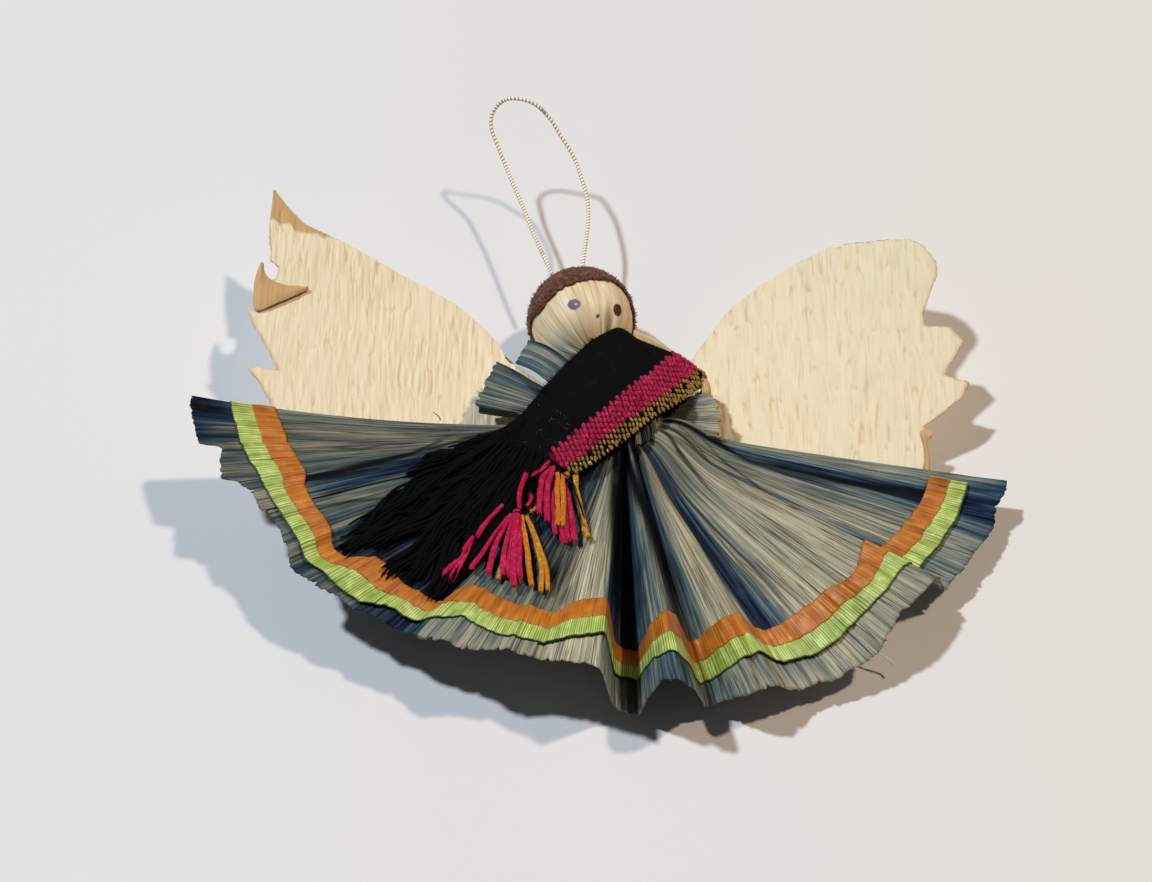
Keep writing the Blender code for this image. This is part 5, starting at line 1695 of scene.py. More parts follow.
# The outer ends of the black fringe: a short tuft at the top, then the long fan
TUFT_TIPS = np.array((
    (-0.0330, -0.0122), (-0.0366, -0.0150), (-0.0384, -0.0164), (-0.0396, -0.0184), (-0.0394, -0.0204),
    (-0.0382, -0.0218), (-0.0345, -0.0214),
))
FAN_TIPS = np.array((
    (-0.0427, -0.0275), (-0.0483, -0.0306), (-0.0528, -0.0328), (-0.0539, -0.0330), (-0.0535, -0.0348),
    (-0.0521, -0.0367), (-0.0494, -0.0376), (-0.0465, -0.0380), (-0.0449, -0.0398), (-0.0429, -0.0425),
    (-0.0410, -0.0412), (-0.0392, -0.0425), (-0.0374, -0.0449), (-0.0350, -0.0452), (-0.0335, -0.0442),
    (-0.0318, -0.0412), (-0.0290, -0.0380), (-0.0262, -0.0340), (-0.0240, -0.0300), (-0.0215, -0.0262),
))


def fringe_fan(tips, count, side_rows, side_columns, seed, clumps):
    """Strands from places on the cloth's end to a line of tips, drawn together in clumps."""
    draw = np.random.default_rng(seed)
    at = np.linspace(0, len(tips) - 1, count)
    clump = (np.floor(at / at[-1] * clumps * 0.9999) + 0.5) / clumps * at[-1]
    places = [np.stack([np.interp(a, np.arange(len(tips)), tips[:, k]) for k in range(2)], 1) for a in (at, clump)]
    ends = places[0] * 0.16 + places[1] * 0.84 + draw.normal(size=(count, 2)) * 0.00045
    share = at / at[-1]
    starts, _ = on_cloth(
        np.clip(np.interp(share, (0, 0.4, 1), side_rows) + draw.uniform(-0.25, 0.0, count), 0, 7.98),
        np.interp(share, (0, 0.4, 1), side_columns),
    )
    shortened = np.random.default_rng(seed + 3).uniform(0.90, 1.03, clumps + 1)
    strands = []
    for k in range(count):
        reach = draw.uniform(0.97, 1.04) if k % 4 else draw.uniform(0.5, 0.9)
        reach = reach * shortened[int(clump[k] / at[-1] * clumps)]
        start = starts[k] - UP * draw.uniform(0.0002, 0.0012)
        end = start[:2] + (ends[k] - start[:2]) * reach
        pile = 0.0003 + 0.0018 * math.sin(share[k] * math.pi)
        route = settle(start, (*end, 0.0), draw.uniform(0.0002, pile), seed + int(clump[k] * 9), 0.0016, fall=3.6)
        along = np.linspace(0, 6, len(route))
        route = route + np.column_stack([wobble(seed + k, along, j) for j in range(3)]) * 0.00035
        t = np.linspace(0, 1, len(route))
        thin = 0.00030 * draw.uniform(0.75, 1.25) * (1 + 0.40 * wobble(seed + 1 + k, t * 18))
        thin = thin * np.clip((1.06 - t) * 8, 0.45, 1)
        strands.append(tube_grid(route, thin[:, None], 6))
    return strands


fringe = fringe_fan(TUFT_TIPS, 80, (5.9, 6.6, 7.4), (0.02, 0.05, 0.3), 150, 6)
fringe += fringe_fan(FAN_TIPS, 360, (6.6, 7.6, 8.0), (0.02, 0.5, 2.7), 250, 23)
yarn_piece("black_fringe", fringe, black_yarn, "yarn_black", "sash_fringe")
print("fringe strands:", len(fringe))

# %% Tassels
def lay(route, lifts, seed):
    """A smooth route over the skirt through places in mm, with its lift over the skirt at both ends in mm."""
    flat = np.array(route) * MM
    flat = smooth_route(flat, max(8, 30 // (len(flat) - 1)))
    t = np.linspace(0, 1, len(flat))
    lift = np.interp(t, np.linspace(0, 1, len(lifts)), lifts) * MM
    sway = np.column_stack([wobble(seed, t * 4), wobble(seed + 1, t * 4)]) * 0.00012
    flat = flat + sway
    return np.column_stack([flat, skirt_top(flat[:, 0], flat[:, 1]) + lift])


# Each strand: colour, thickness, lifts, then its places in mm
PINK, GOLD, ORANGE, DARK = "pink", "gold", "orange", "dark"
UPPER_TASSEL = (
    (PINK, 0.62, (3.4, 3.0, 1.6), (-13.9, -15.0), (-15.5, -19.0), (-15.9, -27.3)),
    (PINK, 0.60, (3.6, 3.2, 1.8), (-13.2, -15.2), (-14.3, -20.0), (-14.4, -29.6)),
    (PINK, 0.52, (2.6, 2.2, 1.2), (-12.6, -15.2), (-13.1, -23.0), (-13.0, -32.6)),
    (ORANGE, 0.55, (3.4, 3.0, 1.7), (-12.6, -16.2), (-12.4, -22.6), (-12.4, -30.9)),
    (ORANGE, 0.55, (3.5, 3.2, 1.8), (-11.5, -16.4), (-11.3, -23.4), (-11.3, -31.2)),
    (PINK, 0.55, (2.4, 2.0, 1.2), (-11.2, -18.5), (-9.9, -26.3), (-9.3, -33.7)),
    (PINK, 0.50, (1.6, 1.6, 1.1), (-12.3, -26.5), (-11.8, -31.0), (-11.2, -34.4)),
    (PINK, 0.48, (2.2, 1.8, 1.0), (-10.9, -20.0), (-10.8, -28.0), (-10.5, -33.6)),
)
LOWER_TASSEL = (
    (PINK, 0.62, (3.2, 2.2, 1.3), (-20.3, -25.8), (-21.0, -35.5), (-21.5, -44.2)),
    (PINK, 0.66, (3.4, 2.6, 1.5), (-20.1, -25.8), (-20.3, -36.5), (-20.5, -46.9)),
    (PINK, 0.55, (2.8, 2.2, 1.3), (-19.9, -26.2), (-19.5, -36.0), (-19.3, -44.6)),
    (PINK, 0.58, (2.8, 2.0, 1.2), (-20.8, -26.6), (-22.3, -35.6), (-22.7, -42.9)),
    (PINK, 0.55, (2.6, 1.9, 1.2), (-21.4, -26.8), (-24.0, -33.6), (-25.5, -42.6)),
    (PINK, 0.50, (2.5, 1.9, 1.3), (-22.0, -27.2), (-25.4, -33.2), (-27.9, -38.6), (-28.6, -39.9)),
    (GOLD, 0.48, (1.4, 1.2, 1.1), (-21.8, -36.4), (-22.9, -39.8), (-23.7, -43.4)),
    (ORANGE, 0.50, (2.6, 1.9, 1.2), (-19.4, -26.6), (-18.2, -36.0), (-17.1, -46.2)),
    (GOLD, 0.52, (2.6, 2.1, 1.2), (-18.5, -26.4), (-16.5, -34.4), (-15.4, -41.0), (-15.7, -47.4)),
    (GOLD, 0.50, (2.5, 2.0, 1.2), (-18.3, -26.2), (-16.1, -34.8), (-14.4, -41.8), (-14.3, -46.8)),
)
OUTER_TASSEL = (
    (PINK, 0.50, (2.4, 2.2, 1.5), (-28.4, -32.8), (-31.2, -38.3), (-34.3, -42.1)),
    (PINK, 0.46, (2.2, 2.0, 1.4), (-28.6, -33.0), (-30.4, -38.5), (-32.5, -43.2)),
    (PINK, 0.42, (2.2, 2.0, 1.4), (-28.8, -33.4), (-31.0, -38.9), (-33.6, -43.0)),
)
FEEDS = (
    (PINK, 0.46, (3.0, 3.2, 3.4), (-20.4, -25.3), (-20.4, -21.2), (-19.0, -16.8)),
    (PINK, 0.50, (2.9, 2.9, 2.5), (-23.0, -24.6), (-25.6, -28.8), (-27.9, -33.4)),
    (PINK, 0.40, (3.4, 3.4, 3.4), (-17.9, -17.4), (-16.2, -15.6), (-14.6, -13.8)),
    (PINK, 0.36, (3.0, 3.0, 3.0), (-18.9, -24.4), (-18.2, -22.8), (-18.0, -22.0)),
    (GOLD, 0.42, (3.4, 3.2, 3.0), (-10.9, -14.4), (-10.5, -16.2), (-10.9, -18.2)),
    (GOLD, 0.38, (3.3, 2.6, 1.8), (-8.7, -12.8), (-8.8, -16.4), (-9.2, -20.2)),
    (GOLD, 0.34, (2.9, 2.8, 2.7), (-18.1, -25.9), (-17.5, -25.2), (-17.1, -24.9)),
)
LONE_ENDS = (
    (GOLD, 0.40, (3.2, 2.4, 1.6, 1.1), (-9.6, -14.0), (-9.2, -18.8), (-8.2, -24.0), (-7.1, -30.0)),
    (GOLD, 0.62, (1.3, 1.1, 1.0), (-7.3, -29.2), (-6.9, -31.0), (-6.7, -32.8)),
)
DARK_ENDS = (
    (DARK, 0.26, (3.8, 3.9, 3.0, 1.5), (-13.9, -14.3), (-10.6, -18.2), (-9.1, -23.4), (-7.4, -28.6)),
    (DARK, 0.24, (3.7, 3.6, 3.4), (-13.9, -14.5), (-16.0, -16.8), (-18.4, -18.0)),
    (DARK, 0.28, (3.5, 3.4, 3.2), (-20.9, -26.4), (-19.2, -26.6), (-18.0, -26.0)),
    (DARK, 0.24, (2.4, 1.8, 1.2), (-15.6, -26.8), (-14.2, -30.5), (-12.4, -32.6)),
    (DARK, 0.24, (2.6, 2.0, 1.2), (-16.4, -20.0), (-17.2, -26.0), (-16.4, -31.0)),
)
YARNS = {PINK: pink_yarn, GOLD: gold_yarn, ORANGE: orange_yarn, DARK: black_yarn}
PLIES = 22
YARN_FULLNESS = 1.55


def tassel(name, strands, node, seed):
    """Soft yarn ends laid over the skirt; each colour's strands make one piece."""
    made = {}
    for k, (colour, thick, lifts, *route) in enumerate(strands):
        line = lay(route, lifts, seed + 5 * k)
        dark = colour == DARK
        half = thick * MM * (1.0 if dark else YARN_FULLNESS)
        ply = half * (0.40 if dark else 0.22)
        plies = yarn_bundle(line, 5 if dark else PLIES, ply, half - ply, 0.30, seed + k, 0.30)
        made.setdefault(colour, []).extend(plies)
    for colour, grids in made.items():
        slot = "yarn_black" if colour == DARK else "yarn_pink"
        yarn_piece(f"{name}_{colour}", grids, YARNS[colour], slot, node if colour == strands[0][0] else None)
    return made


def yarn_fuzz(name, grids, finish, count, seed):
    """Short loose fibres that stand off the sides of the yarns."""
    draw = np.random.default_rng(seed)
    starts, ways = [], []
    for which in draw.integers(0, len(grids), count):
        grid = grids[which]
        row, side = draw.integers(1, grid.shape[0]), draw.integers(0, grid.shape[1])
        starts.append(grid[row, side])
        outward, onward = unit(grid[row, side] - grid[row].mean(0)), (grid[row] - grid[row - 1]).mean(0) * 9000
        ways.append(outward + draw.normal(size=3) * 0.5 + onward)
    ways = unit(np.array(ways))
    hairs(name, np.array(starts), ways, draw.uniform(0.0003, 0.0009, count), 0.000022, finish, "yarn_pink", seed + 1)


upper = tassel("short_tassel", UPPER_TASSEL, "upper_tassel", 301)
lower = tassel("long_tassel", LOWER_TASSEL, "lower_tassel", 331)
outer = tassel("outer_tassel_yarn", OUTER_TASSEL, "outer_tassel", 361)
feeds = tassel("tassel_feed", FEEDS, None, 381)
lone = tassel("lone_end", LONE_ENDS, None, 411)
tassel("dark_yarn_end", DARK_ENDS, None, 431)
pink_grids = upper[PINK] + lower[PINK] + outer[PINK] + feeds[PINK]
yarn_fuzz("pink_yarn_fuzz", pink_grids, pink_yarn, 1500, 451)
yarn_fuzz("gold_yarn_fuzz", lower[GOLD] + feeds[GOLD] + lone[GOLD], gold_yarn, 500, 461)
yarn_fuzz("orange_yarn_fuzz", upper[ORANGE] + lower[ORANGE], orange_yarn, 300, 471)
print("strands of the tassels:", sum(len(group) for group in (UPPER_TASSEL, LOWER_TASSEL, OUTER_TASSEL, FEEDS)))

# %% [markdown]
# The head
#
# The head is a foam ball with one pale husk drawn over it and gathered at the
# neck. Its fibres run from the crown down, and crowd into ridges where they
# meet. The eyes and the nose are dabs of ink on the husk, so they belong in
# the material: each is a spot round a place, with a slightly ragged rim.

# %% Head husk finish
LEFT_EYE = (-0.00970, 0.02348, 0.02149)
RIGHT_EYE = (-0.00087, 0.02433, 0.01879)
NOSE = (-0.00491, 0.02160, 0.02000)
GREEN_PATCH = (-0.01130, 0.01784, 0.01447)
LOW_SHADE = (-0.00720, 0.01860, 0.01710)
FOLD_LINE = (-0.00290, 0.02150, 0.01860)

head_finish, tree, shader, head_colour = natural_husk(
    "head_husk_pale", (244, 231, 200), (232, 210, 168), (198, 164, 116), 1.0
)
object_place = add(tree, "ShaderNodeTexCoord").outputs["Object"]
ragged = add(tree, "ShaderNodeTexNoise", inputs={"Vector": object_place, "Scale": 1400.0, "Detail": 3.0})
ragged_by = math_node(tree, "MULTIPLY_ADD", ragged.outputs["Fac"], 0.0005, -0.00025)


def spot(place, stretch, radius, rim):
    """A mask that is 1 inside a spot round a place. The stretch makes it longer in one direction."""
    moved = vector_node(tree, "MULTIPLY", vector_node(tree, "SUBTRACT", object_place, place), stretch)
    distance = math_node(tree, "ADD", vector_node(tree, "LENGTH", moved), ragged_by)
    return remap(tree, distance, radius - rim, radius + rim, 1.0, 0.0)


shade = add(tree, "ShaderNodeSeparateXYZ", {0: object_place})
# Painted shade: the head is tinted darker tan towards its right side
shaded_side = remap(tree, shade.outputs["X"], -0.0035, 0.0010)
colour = mix(tree, scaled(tree, shaded_side, 0.55), head_colour, (212, 170, 116))
streaks = weighed(tree, (fibres_in(tree, 1.0)["Fibres"], 0.8), plus=0.2)
glint_place = (LEFT_EYE[0] + 0.0004, LEFT_EYE[1], LEFT_EYE[2] + 0.0001)
# Each mark: place, stretch, radius, rim, the strengths that weaken it, colour
MARKS = (
    (GREEN_PATCH, (1, 1, 1), 0.0028, 0.0016, (0.75,), (182, 200, 186)),
    (LOW_SHADE, (1, 0.7, 1), 0.0036, 0.0026, (streaks, 0.8), (164, 128, 84)),
    (FOLD_LINE, (4.5, 1, 1), 0.0030, 0.0014, (0.6,), (122, 82, 46)),
    (LEFT_EYE, (1, 1.15, 1), 0.00132, 0.00012, (), (96, 82, 92)),
    (glint_place, (1, 1.6, 1), 0.00035, 0.0001, (), (186, 176, 178)),
    (RIGHT_EYE, (1.15, 0.9, 1), 0.00122, 0.00010, (), (58, 28, 14)),
    (NOSE, (1, 1, 1), 0.00042, 0.00010, (), (96, 62, 38)),
)
for place, stretch, radius, rim, strengths, ink in MARKS:
    mask = spot(place, stretch, radius, rim)
    for strength in strengths:
        mask = scaled(tree, mask, strength)
    colour = mix(tree, mask, colour, ink)
paint(tree, shader, colour)

# %% Head husk
HEAD_TURNS = 260
HEAD_RINGS = 120
widest = math.pi - math.asin(NECK_RADIUS / HEAD_RADIUS)
lean = np.linspace(0.004, widest, HEAD_RINGS)[:, None]
turn = (turns_round(HEAD_TURNS))[None, :]
gather = clamp((lean - 1.2) / (widest - 1.2))
relief = (0.00004 + 0.00016 * gather) * ridges(201, turn * 5.0, lean * 0.9)
relief = relief + 0.00010 * gather * wobble(202, turn * 2.2, lean * 1.4)
radius = HEAD_RADIUS - 0.0001 + relief
along = -BODY_AXIS * (radius * -np.cos(lean))[..., None]
round_out = (ACROSS * np.cos(turn)[..., None] + UP * np.sin(turn)[..., None]) * (radius * np.sin(lean))[..., None]
head_points = HEAD_CENTRE + along + round_out
from_centre = head_points[-1] - HEAD_CENTRE
beside_axis = from_centre - (from_centre @ BODY_AXIS)[:, None] * BODY_AXIS
neck = HEAD_CENTRE - BODY_AXIS * (HEAD_RADIUS + NECK_LENGTH) + beside_axis
head_points = np.concatenate([head_points, neck[None]])
lean_all = np.concatenate([lean, lean[-1:] + 0.13])
head = new_mesh(
    "face_husk",
    head_points,
    bowl_faces(HEAD_RINGS + 1, HEAD_TURNS),
    head_finish,
    "husk_pale",
    "head_husk",
    fibres=together(turn * 6.5, lean_all * 10.4, 31.0),
)
thicken(head, 0.0004)

foam_finish = mottled("white_foam", 0.9, 0.0012, (220, 220, 216), (242, 242, 238), 0.2, (0.5, 0.0002))
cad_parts["head_ball"].data.materials[0] = foam_finish
print("head points:", head_points.shape[0] * head_points.shape[1])

# %% [markdown]
# The hair
#
# The hair is a cap of brown plush glued over the crown. A smooth cap would
# look like paint, so it is a lumpy shell with thousands of short tufts that
# stand out of it and lean every way. The cap ends in a ragged hairline whose
# angle from the cap's axis changes with the direction round it.

# %% Hair finish, shell and tufts
HAIR_AXIS = unit(np.array([-0.22, 0.83, -0.51]))
HAIR_LOW = 0.0107
HAIR_HIGH = 0.0113
HAIRLINE = np.array((
    (-180.0, 86.0), (-160.0, 88.0), (-120.0, 100.0), (-60.0, 102.0), (-25.0, 104.0), (0.0, 102.0), (15.0, 98.0),
    (29.0, 97.0), (42.0, 101.0), (53.0, 104.5), (70.0, 110.0), (87.0, 114.0), (116.0, 114.0), (140.0, 112.5),
    (154.0, 108.0), (166.0, 94.0), (180.0, 86.0),
))
hair_side = unit(np.cross(HAIR_AXIS, UP))
hair_lift = np.cross(hair_side, HAIR_AXIS)

hair_finish, tree, shader = new_finish("plush_hair", 0.88, Sheen_Weight=0.12, Sheen_Roughness=0.5)
tuft_tone = stored(tree, "tone")
hair_spots = spots_in(tree, 0.0007, 0.5, 0.2)
level = math_node(tree, "MULTIPLY_ADD", hair_spots["Mask"], 0.35, scaled(tree, tuft_tone, 0.65))
HAIR_STOPS = ((0.1, (62, 32, 22)), (0.4, (112, 62, 42)), (0.72, (142, 88, 62)), (1.0, (186, 134, 102)))
hair_colour = ramp(tree, level, HAIR_STOPS)
paint(tree, shader, hair_colour)
bump(tree, shader, hair_spots["Height"], 0.8, 0.0002)


def hairline(around):
    """The cap's edge in radians from its axis, in these directions round it."""
    degrees = np.degrees(around)
    ragged = 1.6 * wobble(211, degrees * 0.22) + 1.1 * wobble(212, degrees * 0.7)
    return np.radians(np.interp(degrees, HAIRLINE[:, 0], HAIRLINE[:, 1]) + ragged)


def hair_direction(angle, around):
    square = hair_side * np.cos(around)[..., None] + hair_lift * np.sin(around)[..., None]
    return HAIR_AXIS * np.cos(angle)[..., None] + square * np.sin(angle)[..., None]


around = np.linspace(-math.pi, math.pi, 241)[:-1][None, :]
out = np.linspace(0.004, 1, 70)[:, None]
angle = hairline(around) * out
direction = hair_direction(angle, around + 0 * out)
lumps = 0.00020 * wobble(213, direction[..., 0] * 16, direction[..., 1] * 16 + direction[..., 2] * 9)
edge_thin = clamp((1 - out) * 10) ** 0.5
shell_radius = HAIR_LOW + (HAIR_HIGH - HAIR_LOW - 0.0002) * edge_thin + lumps * edge_thin
shell = HEAD_CENTRE + direction * shell_radius[..., None]
shell_tone = 0.35 + 0.3 * wobble(214, direction[..., 0] * 40, direction[..., 1] * 40)
shell_faces = bowl_faces(*shell.shape[:2])
hair_shell = new_mesh("hair_plush", shell, shell_faces, hair_finish, "hair", "hair_cap", tone=shell_tone)
thicken(hair_shell, 0.0004)

TUFTS = 5200
draw = np.random.default_rng(221)
tuft_around = draw.uniform(-math.pi, math.pi, TUFTS)
tuft_angle = np.arccos(1 - draw.uniform(0, 1, TUFTS) * (1 - np.cos(hairline(tuft_around))))
tuft_out = hair_direction(tuft_angle, tuft_around)
tuft_start = HEAD_CENTRE + tuft_out * (HAIR_HIGH - 0.0006)
tuft_direction = unit(tuft_out + draw.normal(size=(TUFTS, 3)) * 0.55)
tufts = hairs(
    "hair_tufts",
    tuft_start,
    tuft_direction,
    draw.uniform(0.0003, 0.0007, TUFTS),
    draw.uniform(0.00010, 0.00017, TUFTS),
    hair_finish,
    "hair",
    222,
    curl=0.45,
)
note(tufts, "tone", np.repeat(draw.uniform(0.0, 1.0, TUFTS) ** 1.5, 15))
print("hair tufts:", TUFTS)

# %% [markdown]
# The wings
#
# The wings are cream crepe paper, torn to shape. Crepe has fine, wavy
# crinkles that all run one way, here up and down. They are real waves in the
# grid, soft ones and long fine lines broken into dashes, with a finer set in
# the material. Their colour is painted darker along the lines and paler on the
# soft crests, as painted shade and light. The paper's reverse is painted a
# darker tan, which is painted shade. It shows at the left tip, which is turned
# over, along the torn outer edge, and on three small flaps that curl from the
# torn edges.

# %% Crepe finish
crepe_finish, tree, shader = new_finish("cream_crepe", 0.82)
paper_place = stored(tree, "fibres", "Vector")


def crinkle_noise(across, along, detail):
    return stretched_noise(tree, paper_place, 1.0, across, along, detail)


fine_crinkle = crinkle_noise(1.6, 0.12, 3.0)
wide_crinkle = crinkle_noise(0.75, 0.11, 2.5)
# The tone is painted shade along the crinkle lines and painted light on their soft crests
fold = stored(tree, "tone")
level = math_node(tree, "MULTIPLY_ADD", fine_crinkle, 0.45, scaled(tree, fold, 0.65))
PAPER_AND_CRINKLE_SHADE_STOPS = ((0.10, (196, 168, 122)), (0.28, (216, 194, 150)), (0.46, (232, 215, 179)), (0.85, (243, 229, 198)))
paper_colour = ramp(tree, level, PAPER_AND_CRINKLE_SHADE_STOPS)
paper_spots = spots_in(tree, 0.02, 0.5, 0.4)
paper_colour = mix(tree, scaled(tree, paper_spots["Mask"], 0.14), paper_colour, (228, 208, 164))
# The turned-over reverse is painted a darker tan, as painted shade
reverse = stored(tree, "reverse")
reverse_shade_colour = mix(tree, fine_crinkle, (186, 146, 94), (214, 180, 126))
colour = mix(tree, reverse, paper_colour, reverse_shade_colour)
paint(tree, shader, colour)
crinkle_height = math_node(tree, "MULTIPLY_ADD", wide_crinkle, 1.2, fine_crinkle)
bump(tree, shader, crinkle_height, 0.7, 0.00022)

# %% Wings
WING_SPAN = 0.0750
WING_RISE = 0.0527
WING_ROOT_TOP = 0.0005
WING_SHOULDER_LIFT = 0.0050
LOWEST_RISE = -0.20
LEFT_WING = np.array((
    (-0.095, 0.37, 0.88),
    (0.01, 0.29, 0.915),
    (0.05, 0.23, 0.93),
    (0.105, 0.15, 0.95),
    (0.12, 0.045, 0.955),
    (0.175, 0.036, 0.99),
    (0.185, 0.036, 0.91),
    (0.245, 0.057, 0.93),
    (0.35, 0.20, 0.975),
    (0.425, 0.305, 1.00),
    (0.44, 0.315, 0.96),
    (0.515, 0.335, 0.97),
    (0.55, 0.36, 0.965),
    (0.60, 0.40, 0.93),
    (0.655, 0.45, 0.925),
    (0.672, 0.474, 0.95),
    (0.70, 0.515, 0.95),
    (0.775, 0.635, 0.955),
    (0.85, 0.765, 0.958),
    (0.88, 0.86, 0.957),
    (0.94, 0.91, 0.955),
    (1.00, 0.945, 0.953),
))
RIGHT_WING = np.array((
    (-0.165, 0.53, 0.785),
    (-0.05, 0.35, 0.795),
    (-0.015, 0.29, 0.81),
    (0.015, 0.25, 0.79),
    (0.06, 0.20, 0.84),
    (0.105, 0.095, 0.88),
    (0.12, -0.016, 0.895),
    (0.18, -0.024, 0.915),
    (0.215, -0.030, 0.855),
    (0.25, -0.036, 0.865),
    (0.34, 0.11, 0.905),
    (0.41, 0.17, 0.875),
    (0.425, 0.18, 0.81),
    (0.475, 0.205, 0.805),
    (0.545, 0.235, 0.825),
    (0.625, 0.27, 0.85),
    (0.685, 0.305, 0.845),
    (0.745, 0.37, 0.82),
    (0.795, 0.44, 0.78),
    (0.825, 0.485, 0.685),
    (0.845, 0.56, 0.61),
))
WING_COLUMNS = 460
WING_ROWS = 130


def wing_height(reach, rise, tab, shoulder, tip_lift, low_share):
    ramp_up = clamp((reach - tab) / (shoulder - tab))
    ramp_up = ramp_up * ramp_up * (3 - 2 * ramp_up)
    spread = np.clip((reach - shoulder) / (WING_SPAN - shoulder), 0, None)
    above = np.clip((rise - LOWEST_RISE) / (1 - LOWEST_RISE), 0, None)
    height = WING_ROOT_TOP + (WING_SHOULDER_LIFT - WING_ROOT_TOP) * ramp_up
    return height + tip_lift * spread * (low_share + (1 - low_share) * above)


TIP_TURNED = 0.85


def wing(name, table, side, tab, shoulder, tip_lift, low_share, seed, node):
    rise = np.linspace(table[0, 0], table[-1, 0], WING_ROWS)[:, None]
    inner = np.interp(rise, table[:, 0], table[:, 1])
    outer = np.interp(rise, table[:, 0], table[:, 2])
    outer = outer + 0.0015 * wobble(seed, rise * 70) + 0.0020 * wobble(seed + 1, rise * 22)
    everywhere = np.linspace(table[:, 1].min(), table[:, 2].max() + 0.005, WING_COLUMNS)[None, :]
    reach = WING_SPAN * np.clip(everywhere, inner, outer)
    across = (reach / WING_SPAN - inner) / (outer - inner)
    rows = rise + 0 * across
    edge = rows + 0.006 * wobble(seed + 2, reach * 900) * (np.abs(np.linspace(-1, 1, WING_ROWS))[:, None] > 0.985)
    height = wing_height(reach, edge, tab, shoulder, tip_lift, low_share)
    x_mm, y_mm = reach * 1000, edge * WING_RISE * 1000
    free = clamp((reach - tab) / (shoulder - tab))
    leaning = x_mm + 0.5 * wobble(seed + 4, y_mm * 0.08, x_mm * 0.05)
    strength = 0.85 + 0.3 * wobble(seed + 9, x_mm * 0.12, y_mm * 0.12)
    soft = wobble(seed + 3, leaning * 1.5, y_mm * 0.24) * strength
    dashes = clamp(0.65 + 1.3 * wobble(seed + 10, x_mm * 1.1, y_mm * 0.24))
    lines = clamp(-1.3 * ridges(seed + 5, leaning * 1.35, y_mm * 0.15)) ** 1.6 * dashes
    crinkle = (0.00017 * soft - 0.00020 * lines) * (1.3 if side > 0 else 1.0)
    billow = 0.0007 * wobble(seed + 6, x_mm * 0.06, y_mm * 0.07) + 0.0003 * wobble(seed + 7, x_mm * 0.2, y_mm * 0.15)
    height = height + (crinkle + billow * 0.6) * free
    points = np.stack([side * reach, WING_RISE * edge, height], -1)
    faces = grid_faces(*points.shape[:2])
    if side > 0:
        faces = faces[:, ::-1]
    corners = points.reshape(-1, 3)[faces]
    area = np.linalg.norm(np.cross(corners[:, 2] - corners[:, 0], corners[:, 3] - corners[:, 1]), axis=1)
    faces = faces[area > 1e-9]
    used, faces = np.unique(faces, return_inverse=True)
    faces = faces.reshape(-1, 4)
    # The outer edge and the turned left tip show the reverse, painted as shade
    turned_over = clamp((across - 0.985) * 80) * 0.6 + 0 * rows
    if side < 0:
        past_fold = rows - TIP_TURNED - 0.016 * wobble(seed + 8, x_mm * 0.9)
        turned_over = np.maximum(turned_over, clamp(past_fold * 120))
    # Painted shade: darker along the crinkle lines, paler on the soft crests, and the right wing a little darker
    tone = 0.56 - 0.08 * (side > 0) + 0.18 * soft - 0.38 * lines
    piece = new_mesh(
        name,
        points.reshape(-1, 3)[used],
        faces,
        crepe_finish,
        "crepe",
        node,
        fibres=together(x_mm, y_mm, seed).reshape(-1, 3)[used],
        reverse=turned_over.ravel()[used],
        tone=clamp(tone).ravel()[used],
    )
    thicken(piece, 0.00025)


# Where the glued tab ends, where the wing is free, how high its tip stands, and how much of that at its low end
LEFT_SHAPE = (0.0110, 0.0225, 0.0205, 0.55)
RIGHT_SHAPE = (0.0065, 0.0165, 0.0262, 0.10)
wing("wing_left", LEFT_WING, -1, *LEFT_SHAPE, 231, "left_wing")
wing("wing_right", RIGHT_WING, 1, *RIGHT_SHAPE, 241, "right_wing")
FLAPS = (
    (
        "wing_left_flap",
        ((-72.5, 33.8), (-72.2, 32.0), (-71.3, 30.7), (-69.7, 29.9), (-67.0, 29.9), (-63.5, 30.5)),
        ((-72.8, 33.8), (-73.6, 30.2), (-73.9, 26.2), (-73.1, 22.3), (-68.6, 25.6), (-63.4, 30.1)),
        LEFT_SHAPE,
    ),
    (
        "wing_right_curl",
        ((58.6, 0.0), (59.8, 0.3), (61.0, 0.1), (61.5, -0.5)),
        ((58.9, -1.9), (59.4, -2.4), (59.9, -2.4), (60.9, -1.5)),
        RIGHT_SHAPE,
    ),
    (
        "wing_right_hem",
        ((59.0, -1.6), (59.3, -4.9), (59.2, -7.6), (59.0, -10.2)),
        ((59.7, -1.8), (60.3, -4.9), (60.3, -7.4), (59.7, -10.3)),
        RIGHT_SHAPE,
    ),
)
for seed, (name, upper_edge, lower_edge, shape) in enumerate(FLAPS, 251):
    upper_line, lower_line = (
        smooth_route(np.column_stack([edge, [0] * len(edge)]) * MM, 8) for edge in (upper_edge, lower_edge)
    )
    across = np.linspace(0, 1, 18)[None, :, None]
    points = upper_line[:, None] * (1 - across) + lower_line[:, None] * across
    curled = 0.0003 + np.sin(across[..., 0] * math.pi) * 0.0004
    curled = curled + 0.00010 * wobble(seed, points[..., 0] * 900, points[..., 1] * 300)
    height = wing_height(np.abs(points[..., 0]), points[..., 1] / WING_RISE, *shape)
    points = points + UP * (height + curled)[..., None]
    sheet_piece(
        name,
        points,
        0.0002,
        crepe_finish,
        "crepe",
        flip=name == "wing_right_curl",
        fibres=together(points[..., 0] * 1000, points[..., 1] * 1000, seed),
        reverse=1.0,
        tone=0.6,
    )
print("points of one wing:", WING_COLUMNS * WING_ROWS)

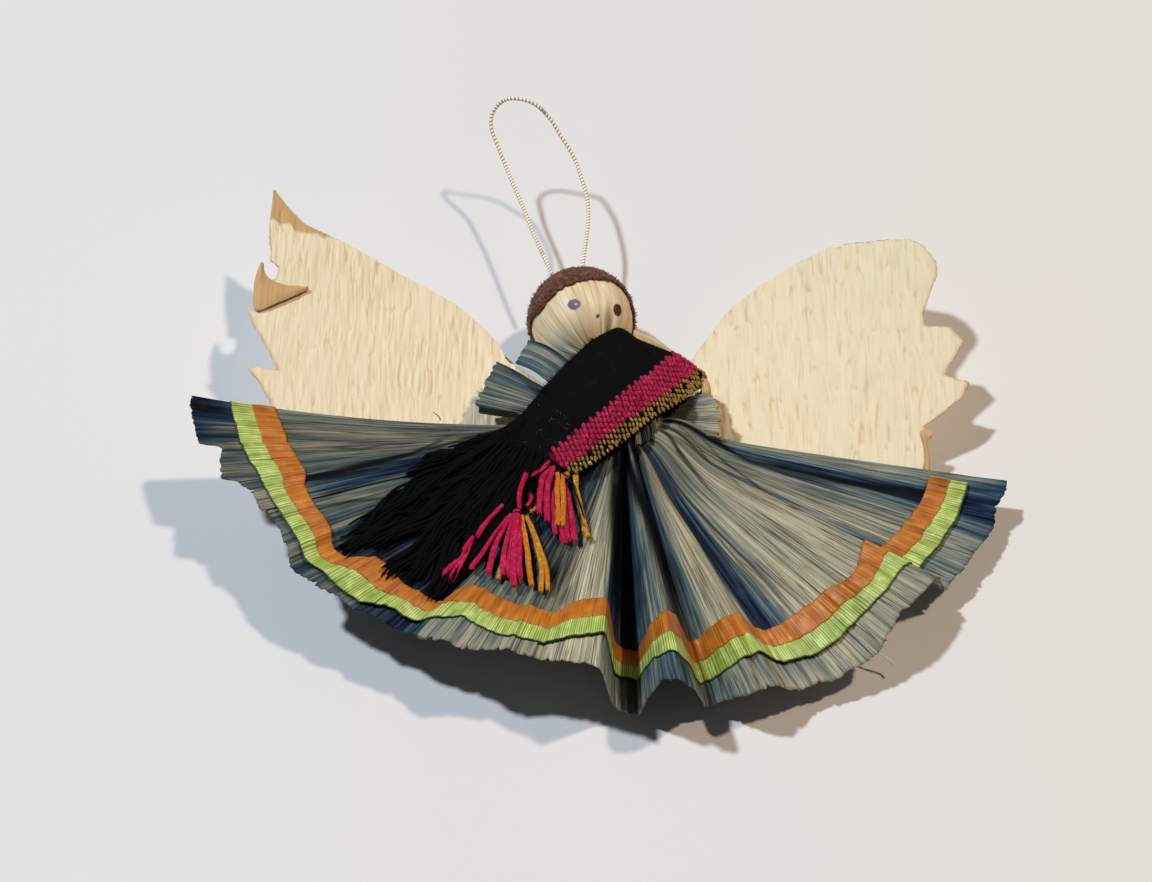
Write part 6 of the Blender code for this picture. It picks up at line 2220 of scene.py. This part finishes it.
# %% [markdown]
# Table and light
#
# The picture has two soft shadows: a cool one to the left and a warm one to
# the right. So two lamps stand left and right of the doll, a cool one on the
# left and a warm one on the right, and together they make plain white. The
# table's colour goes from neutral on the left to warm on the right, which is
# painted warm light from the right. The world adds only a little light, so
# the folds stay deep.

# %% Floor, lamps and world
FLOOR_SIZE = 1.6
floor_mesh = bpy.data.meshes.new("table_top")
half = FLOOR_SIZE / 2
floor_mesh.from_pydata([(-half, -half, 0), (half, -half, 0), (half, half, 0), (-half, half, 0)], [], [(0, 1, 2, 3)])
floor = bpy.data.objects.new("table_top", floor_mesh)
floor.location.z = -0.0002
bpy.context.collection.objects.link(floor)
floor_finish, tree, shader = new_finish("pale_table", 0.9)
table_spots = spots_in(tree, 0.3, 0.5, 0.4)
table_place = add(tree, "ShaderNodeSeparateXYZ", {0: add(tree, "ShaderNodeTexCoord").outputs["Object"]})
# Painted warm light: the table turns warmer towards the right
warm_light_share = remap(tree, table_place.outputs["X"], -0.08, 0.09)
table_colour = mix(tree, warm_light_share, (224, 224, 225), (225, 219, 213))
table_colour = mix(tree, scaled(tree, table_spots["Mask"], 0.25), table_colour, (230, 228, 226))
paint(tree, shader, table_colour)
floor_mesh.materials.append(floor_finish)

SUN_TO_WHITE = math.pi
LAMPS = (
    ("cool_lamp", (-0.49, 0.06, 1.0), (0.54, 0.61, 0.68)),
    ("warm_lamp", (0.49, 0.06, 1.0), (0.42, 0.34, 0.27)),
)
for name, place, colour in LAMPS:
    lamp = bpy.data.lights.new(name, "SUN")
    strength = max(colour)
    lamp.color = [c / strength for c in colour]
    toward = unit(np.array(place))
    lamp.energy = strength * SUN_TO_WHITE / toward[2]
    lamp.angle = math.radians(3.6)
    lamp_object = bpy.data.objects.new(name, lamp)
    bpy.context.collection.objects.link(lamp_object)
    flat = math.hypot(toward[0], toward[1])
    lamp_object.rotation_euler = (0, math.atan2(flat, toward[2]), math.atan2(toward[1], toward[0]))

world = bpy.data.worlds.new("soft_room")
world.use_nodes = True
world.node_tree.nodes["Background"].inputs["Color"].default_value = (0.9, 0.95, 1.0, 1)
world.node_tree.nodes["Background"].inputs["Strength"].default_value = 0.07
bpy.context.scene.world = world
bpy.context.scene.view_settings.view_transform = "Standard"
print("lamps:", len(LAMPS))

# %% The end
bpy.context.view_layer.update()
